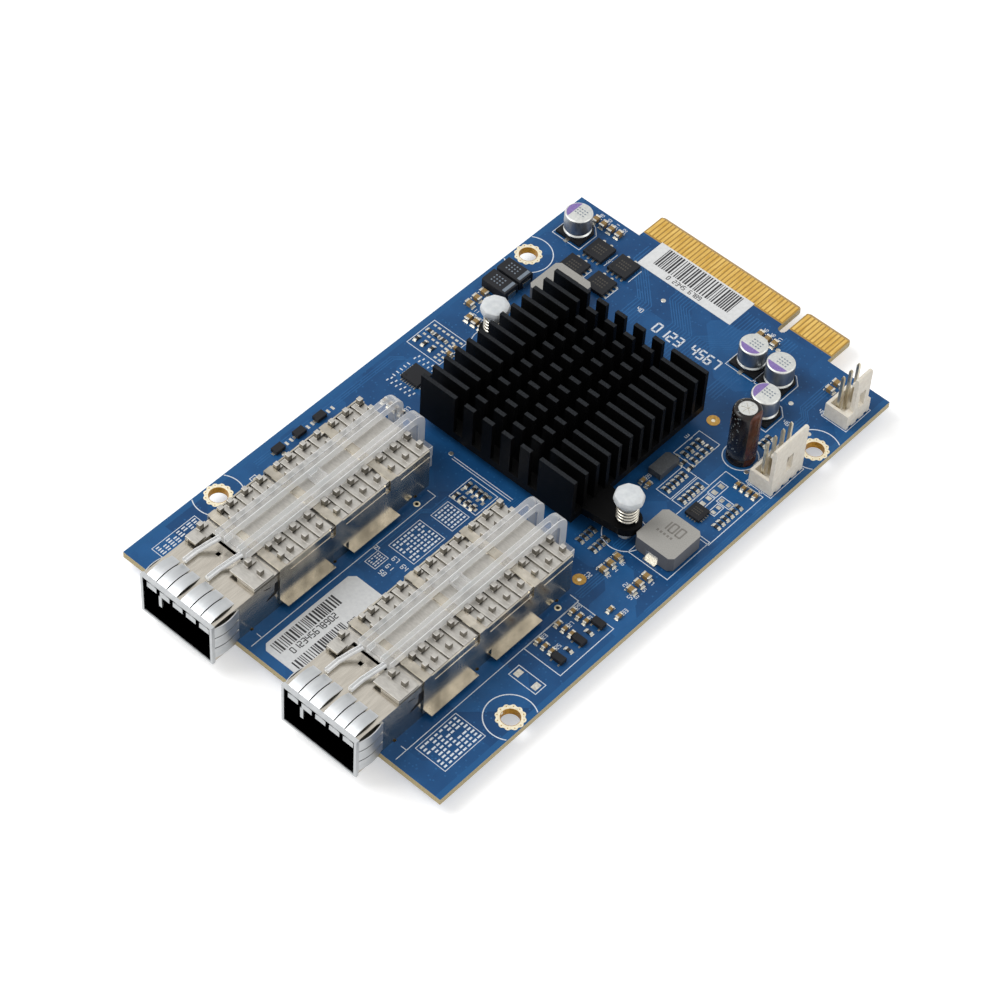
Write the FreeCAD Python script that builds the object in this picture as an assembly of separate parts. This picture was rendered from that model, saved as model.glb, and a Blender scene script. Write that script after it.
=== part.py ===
import FreeCAD, Part

import math
import os

from FreeCAD import Vector

# Two-port network interface card.  Millimetres.  +X runs along the port edge, +Y runs from the ports
# to the gold edge connector, +Z is the component side.  The origin is the centre of the four
# mounting holes, on the underside of the circuit board.

# ---------------------------------------------------------------- driving dimensions
# circuit board
board_width = 84.5
board_length = 137.0
board_thickness = 1.6
hole_side_inset = 3.15
hole_spacing_y = 92.9
hole_front_inset = 23.1
mounting_hole_radius = 2.0
plating_thickness = 0.08
ring_radius = 3.08
ring_scallop = 0.28
ring_hole_margin = 0.06
ring_lobe_count = 6

# cutters reach past a face by cut_margin; skim is the closest tolerance used
cut_margin = 1.0
skim = 0.01
peg_sides = 8

# gold edge connector
tongue_depth = 8.3
contact_pitch = 1.0
contact_width = 0.7
contact_length = 5.6
contact_thickness = 0.06
contact_setback = 0.9
long_contact_count = 38
short_contact_count = 11
key_slot_width = 1.9
key_slot_depth = 8.0
tongue_side_margin = 0.35
tongue_bevel = 0.45
tongue_corner = 0.6

# module cages
cage_pitch = 37.7
cage_pair_offset = -1.4
cage_width = 18.9
cage_height = 10.2
cage_overhang = 6.6
cage_depth_on_board = 54.2
cage_front_drop = 0.6
sheet = 0.25
cage_window_width = 13.0
cage_window_start = 9.0
cage_window_length = 36.0
cage_step_front = 0.25
cage_peephole = 0.9
cage_peephole_x = -2.4
cage_peephole_y = 7.0
cage_floor_gap = 0.3
cage_floor_lead_in = 1.2
cage_floor_rear_lip = 0.4
rear_vent_count = 4
rear_vent_width = 1.6
rear_vent_pitch = 3.6
rear_vent_bottom = 2.0
rear_vent_height = 5.4
cage_tail_count = 3
cage_tail_inset = 4.0
cage_tail_width = 0.8
cage_tail_reach = 0.7
tail_hole_radius = 0.5
tail_hole_sides = 6

# spring collars round the cage mouths
collar_sheet = 0.2
collar_band = 1.3
finger_length = 5.8
finger_bulge = 0.75
finger_side_margin = 0.9
fingers_per_group = 3
finger_slit = 0.25
finger_crest_share = 0.45
flank_low_margin = 0.7
flank_high_margin = 0.3
collar_lip_side = 0.27
collar_lip_height = 0.36
collar_lip_depth = 0.5
finger_group_gap = 1.1
lower_finger_length = 4.2
mouth_finger_count = 5
mouth_finger_drop = 0.8
mouth_finger_length = 3.2
mouth_finger_side_margin = 1.0
mouth_finger_gap = 0.7
mouth_finger_root = 0.3
mouth_finger_tip = 0.15

# host connectors inside the cages
host_side_gap = 0.9
host_depth = 7.4
host_height = 7.6
host_setback = 2.6
host_slot_wall = 1.4
host_slot_height = 1.5
host_slot_depth = 4.2
host_slot_z = 4.6
host_undercut_depth = 1.8
host_undercut_height = 1.6
host_relief_depth = 1.2
host_relief_height = 2.6

# heat sinks that ride on the cages
rider_front = 4.9
rider_plate = 1.3
rider_pin = 1.1
rider_pin_height = 1.3
rider_row_pitch = 4.05
rider_first_row = 3.6
rider_rear_margin = 0.2
rider_left_column_inset = 0.65
rider_right_column_inset = 1.95
rider_left_pipe_gap = 0.3
rider_right_pipe_gap = 0.1
rider_strap_gap = 0.1
rider_corner = 2.2
rider_notch_left_inset = 3.05
rider_notch_right_inset = 6.85
rider_notch_depth = 4.6
rider_foot_depth = 0.45
rider_foot_lead_in = 1.2
rider_window_clearance = 0.5

# spring clips over the cage heat sinks
clip_sheet = 0.35
clip_strap_width = 2.0
clip_first_strap = 12.4
clip_strap_pitch = 15.45
clip_strap_count = 3
clip_side_bottom = 1.4
clip_foot_width = 1.5
clip_foot_length = 13.3
clip_foot_pitch = 18.3
clip_relief = 1.4
clip_relief_depth = 3.0
clip_side_clearance = 0.05
clip_rear_margin = 0.6
clip_slot_start = 26.2
clip_slot_length = 4.4
clip_slot_height = 2.2
clip_foot_start = 0.8
clip_step_length = 12.0

# light pipes
pipe_rod_radius = 0.65
pipe_rod_offsets = (-5.5, 0.7)
pipe_bar_offsets = (-3.6, 2.3)
pipe_tip = 0.9
pipe_knee = 4.6
pipe_frame_start = 8.6
pipe_frame_end = 10.9
pipe_bar_width = 2.5
pipe_bar_height = 2.1
pipe_bar_clearance = 0.05
pipe_bridge_start = 31.4
pipe_bridge_length = 2.8
pipe_rear_gap = 5.0
pipe_bend_radius = 3.4
pipe_bend_steps = 3
pipe_foot_width = 1.3
pipe_foot_arm = 1.6
pipe_foot_root = 0.5
pipe_rear_web_inset = 0.6
pipe_rear_web_bottom = 3.2
pipe_rear_web_top = 6.2
pipe_frame_recess = 0.4
pipe_bridge_recess = 0.5
pipe_rod_gap = 0.1
pipe_rod_root = 0.8
pipe_led_gap = 0.15
port_led_length = 2.0
port_led_width = 1.25
port_led_height = 0.7

# main heat sink and the chip beneath it
chip_size = 25.0
chip_height = 2.3
chip_center_x = -3.0
chip_center_y = 16.0
die_size = 14.0
die_height = 0.35
pad_thickness = 0.2
sink_plate_width = 40.8
sink_plate_thickness = 1.9
fin_count = 13
fin_pitch = 3.36
fin_thickness = 0.95
fin_height = 9.9
cross_cut_count = 5
cross_cut_pitch = 5.0
cross_cut_width = 2.4
ear_radius = 3.2
ear_sides = 20
ear_web_root = 1.0
ear_web_flare = 1.2
left_pin_reach = 3.7
left_pin_dy = 5.9
right_pin_reach = 8.1
right_pin_dy = -13.2

# push pins with their springs
pin_shank_radius = 1.45
pin_sides = 12
pin_hole_clearance = 0.15
pin_head_radius = 3.45
pin_head_height = 3.0
pin_gap_above_ear = 4.6
pin_barb_radius = 2.0
pin_barb_length = 2.6
pin_slot = 0.6
pin_slot_above_board = 0.4
pin_rim_share = 0.55
pin_crown_share = 0.55
pin_barb_tip_share = 0.7
spring_wire_radius = 0.28
spring_turns = 2.5
spring_steps_per_turn = 10
spring_clearance = 0.35
spring_end_gap = 0.01

# moulded power inductors
inductor_size = 9.8
inductor_height = 4.0
inductor_corner = 0.9
inductor_terminal_width = 3.0
inductor_terminal_thickness = 0.25
inductor_terminal_reach = 0.9
inductor_terminal_foot = 2.0
inductor_recess_share = 0.55
left_inductor_inset = 16.25
left_inductor_sink_gap = 0.12
right_inductor_ear_gap = 0.15
right_inductor_dy = 3.15

# polymer capacitors in aluminium cans
can_radius = 3.15
can_height = 5.2
can_edge = 0.45
can_sides = 18
can_base_size = 6.6
can_base_height = 0.8
can_base_cut = 1.6
can_terminal_width = 0.9
can_terminal_reach = 0.9
can_terminal_foot = 1.8
can_terminal_thickness = 0.15

# tall radial capacitor
radial_radius = 3.15
radial_inset_x = 12.9
radial_inset_y = 33.0
radial_height = 15.0
radial_sleeve = 0.12
radial_lip = 0.75
radial_stand_off = 0.05
score_length = 2.8
score_width = 0.18
score_depth = 0.12
radial_shoulder = 0.8
radial_lead_pitch = 2.5
radial_lead_radius = 0.3
lead_hole_clearance = 0.15

# fan headers
header_pitch = 2.54
header_depth = 5.8
header_base_height = 3.9
header_floor = 1.0
header_lip = 0.7
header_wall_height = 13.4
header_wall_thickness = 1.0
header_pin_size = 0.64
header_pin_top = 12.8
header_pin_x_inset = 2.3
header_pin_y_inset = 1.27
header_pin_tip = 0.5
header_pin_tip_share = 0.4
header_hole_clearance = 0.25
header_wall_bevel = 0.3
header_wall_root = 0.5
header_hook_drop = 1.6
header_hook_height = 0.8
header_window_sill = 0.2
header_notch_width = 1.0
header_notch_height = 0.6
header_notch_depth = 0.9
four_pin_count = 4
three_pin_count = 3
three_pin_wall_start = 1.8
three_pin_wall_end = 6.4
header_right_inset = 1.8
lead_tail = 1.4
solder_radius = 0.95
solder_height = 0.8
solder_sides = 6
solder_tip_share = 0.8
radial_solder_collar = 0.1
four_pin_from_back = 37.1
three_pin_from_back = 12.5
lock_window_width = 2.0
lock_window_height = 4.6

# flat packages
mosfet_width = 5.0
mosfet_body_length = 5.2
mosfet_height = 1.0
mosfet_tab_width = 4.0
mosfet_tab_inset = 1.2
mosfet_tab_reach = 0.4
mosfet_lead_count = 4
mosfet_lead_pitch = 1.27
mosfet_lead_width = 0.5
mosfet_lead_reach = 0.6
mosfet_lead_foot = 0.7
tantalum_length = 6.6
tantalum_width = 4.1
tantalum_height = 2.6
tantalum_bevel = 0.25
tantalum_terminal_thickness = 0.15
tantalum_terminal_width = 2.4
tantalum_terminal_height = 1.4
tantalum_terminal_foot = 1.2
driver_size = 3.6
driver_height = 0.9
driver_leads_per_side = 4
driver_lead_pitch = 0.65
driver_lead_recess = 0.5
monitor_size = 4.6
monitor_height = 1.0
monitor_leads_per_side = 7
monitor_lead_pitch = 0.6
oscillator_width = 3.2
oscillator_length = 6.0
oscillator_height = 1.7
oscillator_corner = 0.6
lead_width = 0.3
lead_foot = 0.3
lead_reach = 0.55
lead_thickness = 0.18
sot_length = 2.8
sot_width = 1.6
sot_height = 1.05
sot_lead_spread = 0.95
sot_lead_width = 0.4
diode_length = 2.6
diode_width = 1.7
diode_height = 1.0
diode_lead_width = 0.8
small_lead_foot = 0.2
small_lead_reach = 0.45
small_lead_thickness = 0.1

# chip capacitors and resistors: length, width, height
big_capacitor = (2.0, 1.25, 1.15)
small_capacitor = (1.6, 0.85, 0.8)
resistor = (1.5, 0.8, 0.45)

# paper labels
label_thickness = 0.1
label_corner = 1.2
port_label_width = 10.0
port_label_length = 25.2
port_label_front = 2.2
rear_label_width = 25.6
rear_label_length = 8.4
rear_label_from_back = 6.6
rear_label_left_inset = 5.0

# places measured from the corners of the board, from the cages and from the chip
rear_left_can_offsets = ((6.2, -8.6),)
tongue_can_offsets = ((14.85, -11.8), (22.05, -11.8), (25.15, -20.6))
upright_mosfet_offsets = ((13.7, -10.0), (20.5, -10.0))
turned_mosfet_offsets = ((12.7, -17.2), (20.1, -17.2))
tantalum_offsets = ((5.6, -28.2), (5.6, -32.9))
driver_offset = (35.65, 0.65)
monitor_offset = (-29.25, -11.95)
oscillator_offset = (23.15, 5.05)
sot_offsets = ((19.2, 39.6), (19.2, 45.7), (19.2, 51.4))
diode_offsets = ((3.4, 39.8), (3.4, 45.9), (3.4, 51.8))

# test points
test_ring_radius = 1.45
cage_test_point = (9.2, 3.0)
sink_test_point = (22.25, 21.95)
test_ring_sides = 12
test_hole_radius = 0.5

# ---------------------------------------------------------------- derived places
hole_spacing_x = board_width - 2 * hole_side_inset
left = -board_width / 2
right = board_width / 2
front = -hole_spacing_y / 2 - hole_front_inset
back = front + board_length
top = board_thickness
cage_centers = (cage_pair_offset - cage_pitch / 2, cage_pair_offset + cage_pitch / 2)
front_left = (left, front)
front_right = (right, front)
rear_left = (left, back)
rear_right = (right, back)
tongue_root = (0.0, back)
left_cage = (cage_centers[0], front)
right_cage = (cage_centers[1], front)
chip = (chip_center_x, chip_center_y)
cage_top = top + cage_height
cage_rear = front + cage_depth_on_board
finger_group_slits = (fingers_per_group - 1) * finger_slit
finger_room = cage_width - 2 * finger_side_margin - finger_group_gap - 2 * finger_group_slits
finger_width = finger_room / (2 * fingers_per_group)
host_width = cage_width - 2 * sheet - 2 * host_side_gap
host_slot_width = host_width - 2 * host_slot_wall
rider_top = cage_top + rider_plate
clip_top = rider_top + clip_sheet
bar_bottom = clip_top + pipe_bar_clearance
bar_top = bar_bottom + pipe_bar_height
long_width = (long_contact_count - 1) * contact_pitch + contact_width + 2 * tongue_side_margin
short_width = (short_contact_count - 1) * contact_pitch + contact_width + 2 * tongue_side_margin
tongue_left = -(long_width + key_slot_width + short_width) / 2
key_left = tongue_left + long_width
key_right = key_left + key_slot_width
tongue_right = key_right + short_width
tongue_end = back + tongue_depth
pipe_rear = cage_rear + pipe_rear_gap
sink_bottom = top + chip_height + die_height + pad_thickness
sink_plate_top = sink_bottom + sink_plate_thickness
sink_length = (fin_count - 1) * fin_pitch + fin_thickness
left_pin = (chip_center_x - sink_plate_width / 2 - left_pin_reach, chip_center_y + left_pin_dy)
right_pin = (chip_center_x + sink_plate_width / 2 + right_pin_reach, chip_center_y + right_pin_dy)
push_pin_places = (left_pin, right_pin)
pin_hole_radius = pin_shank_radius + pin_hole_clearance
header_right = right - header_right_inset
header_left = header_right - header_depth
four_pin_front = back - four_pin_from_back
three_pin_front = back - three_pin_from_back
radial_center = (right - radial_inset_x, back - radial_inset_y)


# ---------------------------------------------------------------- shape helpers
def block(x0, x1, y0, y1, z0, z1):
    """Box between two corners."""
    return Part.makeBox(x1 - x0, y1 - y0, z1 - z0, Vector(x0, y0, z0))


def centred(x, y, width, length, z0, z1):
    """Box centred on a place, from one height to another."""
    return block(x - width / 2, x + width / 2, y - length / 2, y + length / 2, z0, z1)


def disc(x, y, radius, z0, z1):
    """Upright cylinder."""
    return Part.makeCylinder(radius, z1 - z0, Vector(x, y, z0))


def prism(points, z0, z1):
    """Upright prism over a closed outline of (x, y) corners."""
    corners = [Vector(x, y, z0) for x, y in points]
    outline = Part.makePolygon(corners + corners[:1])
    return Part.Face(outline).extrude(Vector(0, 0, z1 - z0))


def polygon(radius, count):
    """Corners of an even polygon round the origin."""
    angles = [2 * math.pi * (i + 0.5) / count for i in range(count)]
    return [(radius * math.cos(angle), radius * math.sin(angle)) for angle in angles]


def skinned(rings, twisted=False):
    """Solid with flat faces through rings of corners in order, closed at both ends."""
    faces = [Part.Face(Part.makePolygon(ring + ring[:1])) for ring in (rings[0], rings[-1])]
    for low, high in zip(rings, rings[1:]):
        for a, b, c, d in zip(low, low[1:] + low[:1], high[1:] + high[:1], high):
            patches = [[a, b, c, a], [a, c, d, a]] if twisted else [[a, b, c, d, a]]
            faces += [Part.Face(Part.makePolygon(patch)) for patch in patches]
    solid = Part.makeSolid(Part.makeShell(faces))
    if solid.Volume < 0:
        solid.reverse()
    return solid


def lathed(profile, count):
    """Flat-sided solid from (radius, height) pairs, from its foot to its top."""
    rings = []
    for radius, z in profile:
        rings.append([Vector(px, py, z) for px, py in polygon(radius, count)])
    return skinned(rings)


def peg(x, y, radius, z0, z1, count=peg_sides):
    """Small upright peg with flat sides."""
    return moved(prism(polygon(radius, count), z0, z1), x, y)


def taper(x, y, low_radius, high_radius, z0, z1, count=peg_sides):
    """Flat-sided frustum."""
    return moved(lathed([(low_radius, z0), (high_radius, z1)], count), x, y)


def joined(shapes):
    """One solid from touching shapes."""
    shapes = list(shapes)
    if len(shapes) == 1:
        return shapes[0]
    return shapes[0].multiFuse(shapes[1:]).removeSplitter()


def carved(solid, tools):
    """The solid with every tool taken away."""
    tools = list(tools)
    return solid.cut(tools[0] if len(tools) == 1 else Part.makeCompound(tools))


def moved(shape, dx, dy=0.0, dz=0.0):
    """Copy of a shape at another place."""
    copy = shape.copy()
    copy.translate(Vector(dx, dy, dz))
    return copy


def turned_flat(shape, degrees):
    """Copy of a shape turned about the upright axis through the origin."""
    copy = shape.copy()
    copy.rotate(Vector(0, 0, 0), Vector(0, 0, 1), degrees)
    return copy


def from_anchor(anchor, offsets):
    """Places at given offsets from an anchor."""
    return [(anchor[0] + dx, anchor[1] + dy) for dx, dy in offsets]


def spread(count, pitch):
    """Evenly spaced offsets, centred on zero."""
    return [(i - (count - 1) / 2) * pitch for i in range(count)]


# ---------------------------------------------------------------- places shared by board and parts
def mounting_holes():
    """Centres of the four mounting holes."""
    return [(sx * hole_spacing_x / 2, sy * hole_spacing_y / 2) for sx in (-1, 1) for sy in (-1, 1)]


def cage_tails(center):
    """Places of the cage's solder tails, along both of its side walls."""
    step = (cage_depth_on_board - 2 * cage_tail_inset) / (cage_tail_count - 1)
    wall = cage_width / 2 - sheet / 2
    return [(center + side * wall, front + cage_tail_inset + i * step)
            for side in (-1, 1) for i in range(cage_tail_count)]


def strap_places():
    """Middles of the straps across each cage heat sink."""
    return [front + clip_first_strap + i * clip_strap_pitch for i in range(clip_strap_count)]


def header_pins(start, count):
    """Places of one fan header's pins."""
    x = header_left + header_pin_x_inset
    return [(x, start + header_pin_y_inset + i * header_pitch) for i in range(count)]


def radial_leads():
    """Places of the tall capacitor's two leads."""
    x, y = radial_center
    return [(x, y - radial_lead_pitch / 2), (x, y + radial_lead_pitch / 2)]


test_points = ((right_cage[0] + cage_test_point[0], cage_rear + cage_test_point[1]),
               (chip[0] + sink_test_point[0], chip[1] + sink_test_point[1]))
header_pin_places = header_pins(four_pin_front, four_pin_count)
header_pin_places += header_pins(three_pin_front, three_pin_count)


# ---------------------------------------------------------------- circuit board
def make_board():
    """Board with its bevelled tongue, key slot and every hole."""
    c = tongue_corner
    outline = [(left, front), (right, front), (right, back), (tongue_right, back),
               (tongue_right, tongue_end - c), (tongue_right - c, tongue_end),
               (key_right + c, tongue_end), (key_right, tongue_end - c),
               (key_right, tongue_end - key_slot_depth), (key_left, tongue_end - key_slot_depth),
               (key_left, tongue_end - c), (key_left - c, tongue_end),
               (tongue_left + c, tongue_end), (tongue_left, tongue_end - c),
               (tongue_left, back), (left, back)]
    board = prism(outline, 0, top)
    z0, z1 = -cut_margin, top + cut_margin
    tails = [place for center in cage_centers for place in cage_tails(center)]
    holes = [disc(x, y, mounting_hole_radius, z0, z1) for x, y in mounting_holes()]
    holes += [peg(x, y, pin_hole_radius, z0, z1, pin_sides) for x, y in push_pin_places]
    holes += [peg(x, y, tail_hole_radius, z0, z1, tail_hole_sides) for x, y in tails]
    holes += [peg(x, y, header_pin_size / 2 + header_hole_clearance, z0, z1) for x, y in header_pin_places]
    holes += [peg(x, y, radial_lead_radius + lead_hole_clearance, z0, z1) for x, y in radial_leads()]
    holes += [peg(x, y, test_hole_radius, z0, z1) for x, y in test_points]
    slot_end = peg((key_left + key_right) / 2, tongue_end - key_slot_depth, key_slot_width / 2, z0, z1)
    bevels = []
    start_x = tongue_left - cut_margin
    run = tongue_right - tongue_left + 2 * cut_margin
    for z, sign in ((0.0, 1), (top, -1)):
        corners = [Vector(start_x, tongue_end + skim, z - sign * cut_margin),
                   Vector(start_x, tongue_end + skim, z + sign * tongue_bevel),
                   Vector(start_x, tongue_end - 2 * tongue_bevel, z),
                   Vector(start_x, tongue_end - 2 * tongue_bevel, z - sign * cut_margin)]
        wedge = Part.Face(Part.makePolygon(corners + corners[:1]))
        bevels.append(wedge.extrude(Vector(run, 0, 0)))
    return carved(board, holes + [slot_end] + bevels)


def make_contacts():
    """Gold contacts on both faces of the tongue."""
    first_long = tongue_left + tongue_side_margin + contact_width / 2
    first_short = key_right + tongue_side_margin + contact_width / 2
    places = [first_long + i * contact_pitch for i in range(long_contact_count)]
    places += [first_short + i * contact_pitch for i in range(short_contact_count)]
    y1 = tongue_end - contact_setback
    y0 = y1 - contact_length
    pads = []
    for x in places:
        for z0, z1 in ((top, top + contact_thickness), (-contact_thickness, 0.0)):
            pads.append(block(x - contact_width / 2, x + contact_width / 2, y0, y1, z0, z1))
    return Part.makeCompound(pads)


def make_hole_rings():
    """Tinned rings round the mounting holes, with shallow lobes."""
    outline = []
    for i in range(2 * ring_lobe_count):
        angle = math.pi * i / ring_lobe_count
        radius = ring_radius - ring_scallop * (i % 2)
        outline.append((radius * math.cos(angle), radius * math.sin(angle)))
    inside = polygon(mounting_hole_radius + ring_hole_margin, 2 * ring_lobe_count)
    rings = []
    ring = prism(outline, top, top + plating_thickness).cut(prism(inside, 0, top + cut_margin))
    for x, y in mounting_holes():
        rings.append(moved(ring, x, y))
    return Part.makeCompound(rings)


def make_test_rings():
    """Gold rings round the small test holes."""
    rings = []
    for x, y in test_points:
        ring = peg(x, y, test_ring_radius, top, top + plating_thickness, test_ring_sides)
        rings.append(ring.cut(peg(x, y, test_hole_radius, 0, top + cut_margin)))
    return Part.makeCompound(rings)


# ---------------------------------------------------------------- port assembly
def make_cage(center):
    """Folded sheet cage: stepped mouth, top window, rear wall and solder tails."""
    half = cage_width / 2
    mouth = front - cage_overhang
    rear = front + cage_depth_on_board
    step = front - cage_step_front
    shell = joined([block(-half, half, step - sheet, rear, top, cage_top),
                    block(-half, half, mouth, step, top - cage_front_drop, cage_top)])
    room = joined([block(-half + sheet, half - sheet, step - 2 * sheet, rear - sheet,
                         top + sheet, cage_top - sheet),
                   block(-half + sheet, half - sheet, mouth - cut_margin, step - sheet,
                         top - cage_front_drop + sheet, cage_top - sheet)])
    window_start = front + cage_window_start
    window = block(-cage_window_width / 2, cage_window_width / 2, window_start,
                   window_start + cage_window_length, cage_top - 2 * sheet, cage_top + cut_margin)
    floor_half = host_width / 2 + cage_floor_gap
    floor_cut = block(-floor_half, floor_half, rear - host_setback - host_depth - cage_floor_lead_in,
                      rear - sheet - cage_floor_rear_lip, top - cut_margin, top + 2 * sheet)
    peephole = centred(cage_peephole_x, front + cage_peephole_y, cage_peephole, cage_peephole,
                       cage_top - cut_margin, cage_top + cut_margin)
    vent_low = top + rear_vent_bottom
    vents = [centred(x, rear, rear_vent_width, 3 * sheet, vent_low, vent_low + rear_vent_height)
             for x in spread(rear_vent_count, rear_vent_pitch)]
    body = carved(shell, [room, window, floor_cut, peephole] + vents)
    tails = [centred(x - center, y, sheet, cage_tail_width, -cage_tail_reach, top + sheet)
             for x, y in cage_tails(center)]
    return moved(joined([body] + tails), center)


def spring_finger(length, width, bulge):
    """Bowed finger along +Y, width along X, standing proud along +Z from a face at z = 0."""
    t = collar_sheet
    bow = [(0.0, 0.0), (finger_crest_share, 1.0), (1.0, 0.0)]
    rise = bulge - t
    lower = [Vector(0, share * length, high * rise) for share, high in bow]
    upper = [point + Vector(0, 0, t) for point in reversed(lower)]
    face = Part.Face(Part.makePolygon(lower + upper + lower[:1]))
    return moved(face.extrude(Vector(width, 0, 0)), -width / 2)


def make_collar(center):
    """Spring collar round the cage mouth: a band, bowed outer fingers and short inner fingers."""
    half = cage_width / 2
    t = collar_sheet
    mouth = front - cage_overhang
    low = top - cage_front_drop
    band_back = mouth + collar_band
    band = block(-half - t, half + t, mouth - t, band_back, low - t, cage_top + t)
    band = band.cut(block(-half, half, mouth, band_back + cut_margin, low, cage_top))
    lip_half = half - collar_lip_side
    band = band.cut(block(-lip_half, lip_half, mouth - cut_margin, mouth + collar_lip_depth,
                          low + collar_lip_height, cage_top - collar_lip_height))
    pieces = [band]
    step = finger_width + finger_slit
    group = fingers_per_group * finger_width + finger_group_slits
    first = -half + finger_side_margin + finger_width / 2
    for g in range(2):
        for i in range(fingers_per_group):
            x = first + g * (group + finger_group_gap) + i * step
            upper = spring_finger(finger_length, finger_width, finger_bulge)
            pieces.append(moved(upper, x, band_back, cage_top))
            lower = spring_finger(lower_finger_length, finger_width, finger_bulge)
            lower.rotate(Vector(0, 0, 0), Vector(0, 1, 0), 180)
            pieces.append(moved(lower, x, band_back, low))
    side_step = (cage_height - flank_low_margin - flank_high_margin) / fingers_per_group
    side_width = side_step - finger_slit
    for side in (-1, 1):
        for i in range(fingers_per_group):
            z = top + flank_low_margin + side_width / 2 + i * side_step
            flank = spring_finger(finger_length, side_width, finger_bulge)
            flank.rotate(Vector(0, 0, 0), Vector(0, 1, 0), 90 * side)
            pieces.append(moved(flank, side * half, band_back, z))
    inner_pitch = (cage_width - 2 * mouth_finger_side_margin) / mouth_finger_count
    inner_width = inner_pitch - mouth_finger_gap
    tip = Vector(0, mouth_finger_length, -mouth_finger_drop)
    corners = [Vector(0, -t, 0), Vector(0, mouth_finger_root, 0), tip,
               tip + Vector(0, 0, -mouth_finger_tip), Vector(0, -t, -mouth_finger_root)]
    leaf = Part.Face(Part.makePolygon(corners + corners[:1])).extrude(Vector(inner_width, 0, 0))
    for x in spread(mouth_finger_count, inner_pitch):
        pieces.append(moved(leaf, x - inner_width / 2, mouth, cage_top - sheet))
    return moved(joined(pieces), center)


def make_host_connector(center):
    """Black host connector with the card slot that a module plugs into."""
    rear = cage_rear - host_setback
    nose = rear - host_depth
    half = host_width / 2
    slot_half = host_slot_width / 2
    body = block(-half, half, nose, rear, top, top + host_height)
    slot_middle = top + host_slot_z
    slot = block(-slot_half, slot_half, nose - cut_margin, nose + host_slot_depth,
                 slot_middle - host_slot_height / 2, slot_middle + host_slot_height / 2)
    undercut = block(-half - cut_margin, half + cut_margin, nose - cut_margin, nose + host_undercut_depth,
                     top - cut_margin, top + host_undercut_height)
    relief = block(-slot_half, slot_half, rear - host_relief_depth, rear + cut_margin,
                   top - cut_margin, top + host_relief_height)
    return moved(carved(body, [slot, undercut, relief]), center)


def make_rider(center):
    """Cage heat sink: notched plate, four columns of square pins and a foot in the window."""
    half = cage_width / 2
    y0 = front + rider_front
    y1 = cage_rear - rider_rear_margin
    c = rider_corner
    inner_left = -half + rider_notch_left_inset
    inner_right = half - rider_notch_right_inset
    depth = rider_notch_depth
    outline = [(-half, y0), (inner_left - c, y0), (inner_left, y0 + c), (inner_left, y0 + depth),
               (inner_right, y0 + depth), (inner_right, y0 + c), (inner_right + c, y0), (half, y0),
               (half, y1), (-half, y1)]
    plate = prism(outline, cage_top, rider_top)
    straps = strap_places()
    room = y1 - y0 - rider_first_row - rider_pin / 2 - rider_rear_margin
    row_count = int(room / rider_row_pitch) + 1
    row_places = [y0 + rider_first_row + i * rider_row_pitch for i in range(row_count)]
    left_bar, right_bar = pipe_bar_offsets
    reach = (pipe_bar_width + rider_pin) / 2
    columns = (-half + rider_left_column_inset, left_bar - reach - rider_left_pipe_gap,
               right_bar + reach + rider_right_pipe_gap, half - rider_right_column_inset)
    pins = []
    clear = clip_strap_width / 2 + rider_pin / 2 + rider_strap_gap
    for y in row_places:
        near = [s for s in straps if abs(y - s) < clear]
        place = y if not near else near[0] + math.copysign(clear, y - near[0] or 1)
        for x in columns:
            over_notch = inner_left < x < inner_right and place < y0 + depth + rider_pin
            if not over_notch:
                pins.append(centred(x, place, rider_pin, rider_pin, cage_top, rider_top + rider_pin_height))
    foot_half = cage_window_width / 2 - rider_window_clearance
    window_start = front + cage_window_start
    foot = block(-foot_half, foot_half, window_start + rider_window_clearance + rider_foot_lead_in,
                 window_start + cage_window_length - rider_window_clearance,
                 cage_top - rider_foot_depth, cage_top)
    return moved(joined([plate, foot] + pins), center)


def make_clip(center):
    """Spring clip: three straps over the sink, two side walls and outward feet."""
    half = cage_width / 2 + clip_side_clearance
    outer = half + clip_sheet
    low = top + clip_side_bottom
    y0 = front + clip_first_strap - clip_strap_width / 2
    y1 = cage_rear - clip_rear_margin
    edge = clip_strap_width / 2
    pieces = []
    straps = strap_places()
    for y in straps:
        pieces.append(centred(0, y, 2 * outer, clip_strap_width, rider_top, clip_top))
    for side in (-1, 1):
        x0, x1 = sorted((side * half, side * outer))
        wall = block(x0, x1, y0, y1, low, clip_top)
        w0, w1 = x0 - cut_margin, x1 + cut_margin
        z1 = clip_top + cut_margin
        reliefs = [block(w0, w1, y - edge - clip_relief, y - edge, clip_top - clip_relief_depth, z1)
                   for y in straps]
        reliefs += [block(w0, w1, y + edge, y + edge + clip_step_length, clip_top - clip_sheet, z1)
                    for y in straps]
        slot_start = front + clip_slot_start
        reliefs.append(block(w0, w1, slot_start, slot_start + clip_slot_length,
                             low - cut_margin, low + clip_slot_height))
        pieces.append(carved(wall, reliefs))
        for i in range(2):
            foot_y = y0 + clip_foot_start + i * clip_foot_pitch
            f0, f1 = sorted((side * half, side * (outer + clip_foot_width)))
            pieces.append(block(f0, f1, foot_y, foot_y + clip_foot_length, low - clip_sheet, low))
    return moved(joined(pieces), center)


def bent_rod(points, radius):
    """Flat-sided rod through points in order, its ends upright and square to +Y."""
    sections = []
    for point in points:
        sections.append([Vector(point.x + px, point.y, point.z + pz) for px, pz in polygon(radius, peg_sides)])
    return skinned(sections, True)


def quarter_bend(center_y, center_z, radius):
    """Points of a quarter turn in the YZ plane, from straight up to straight back."""
    angles = [math.pi / 2 * i / pipe_bend_steps for i in range(pipe_bend_steps + 1)]
    return [(center_y + radius * math.sin(a), center_z + radius * math.cos(a)) for a in angles]


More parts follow.
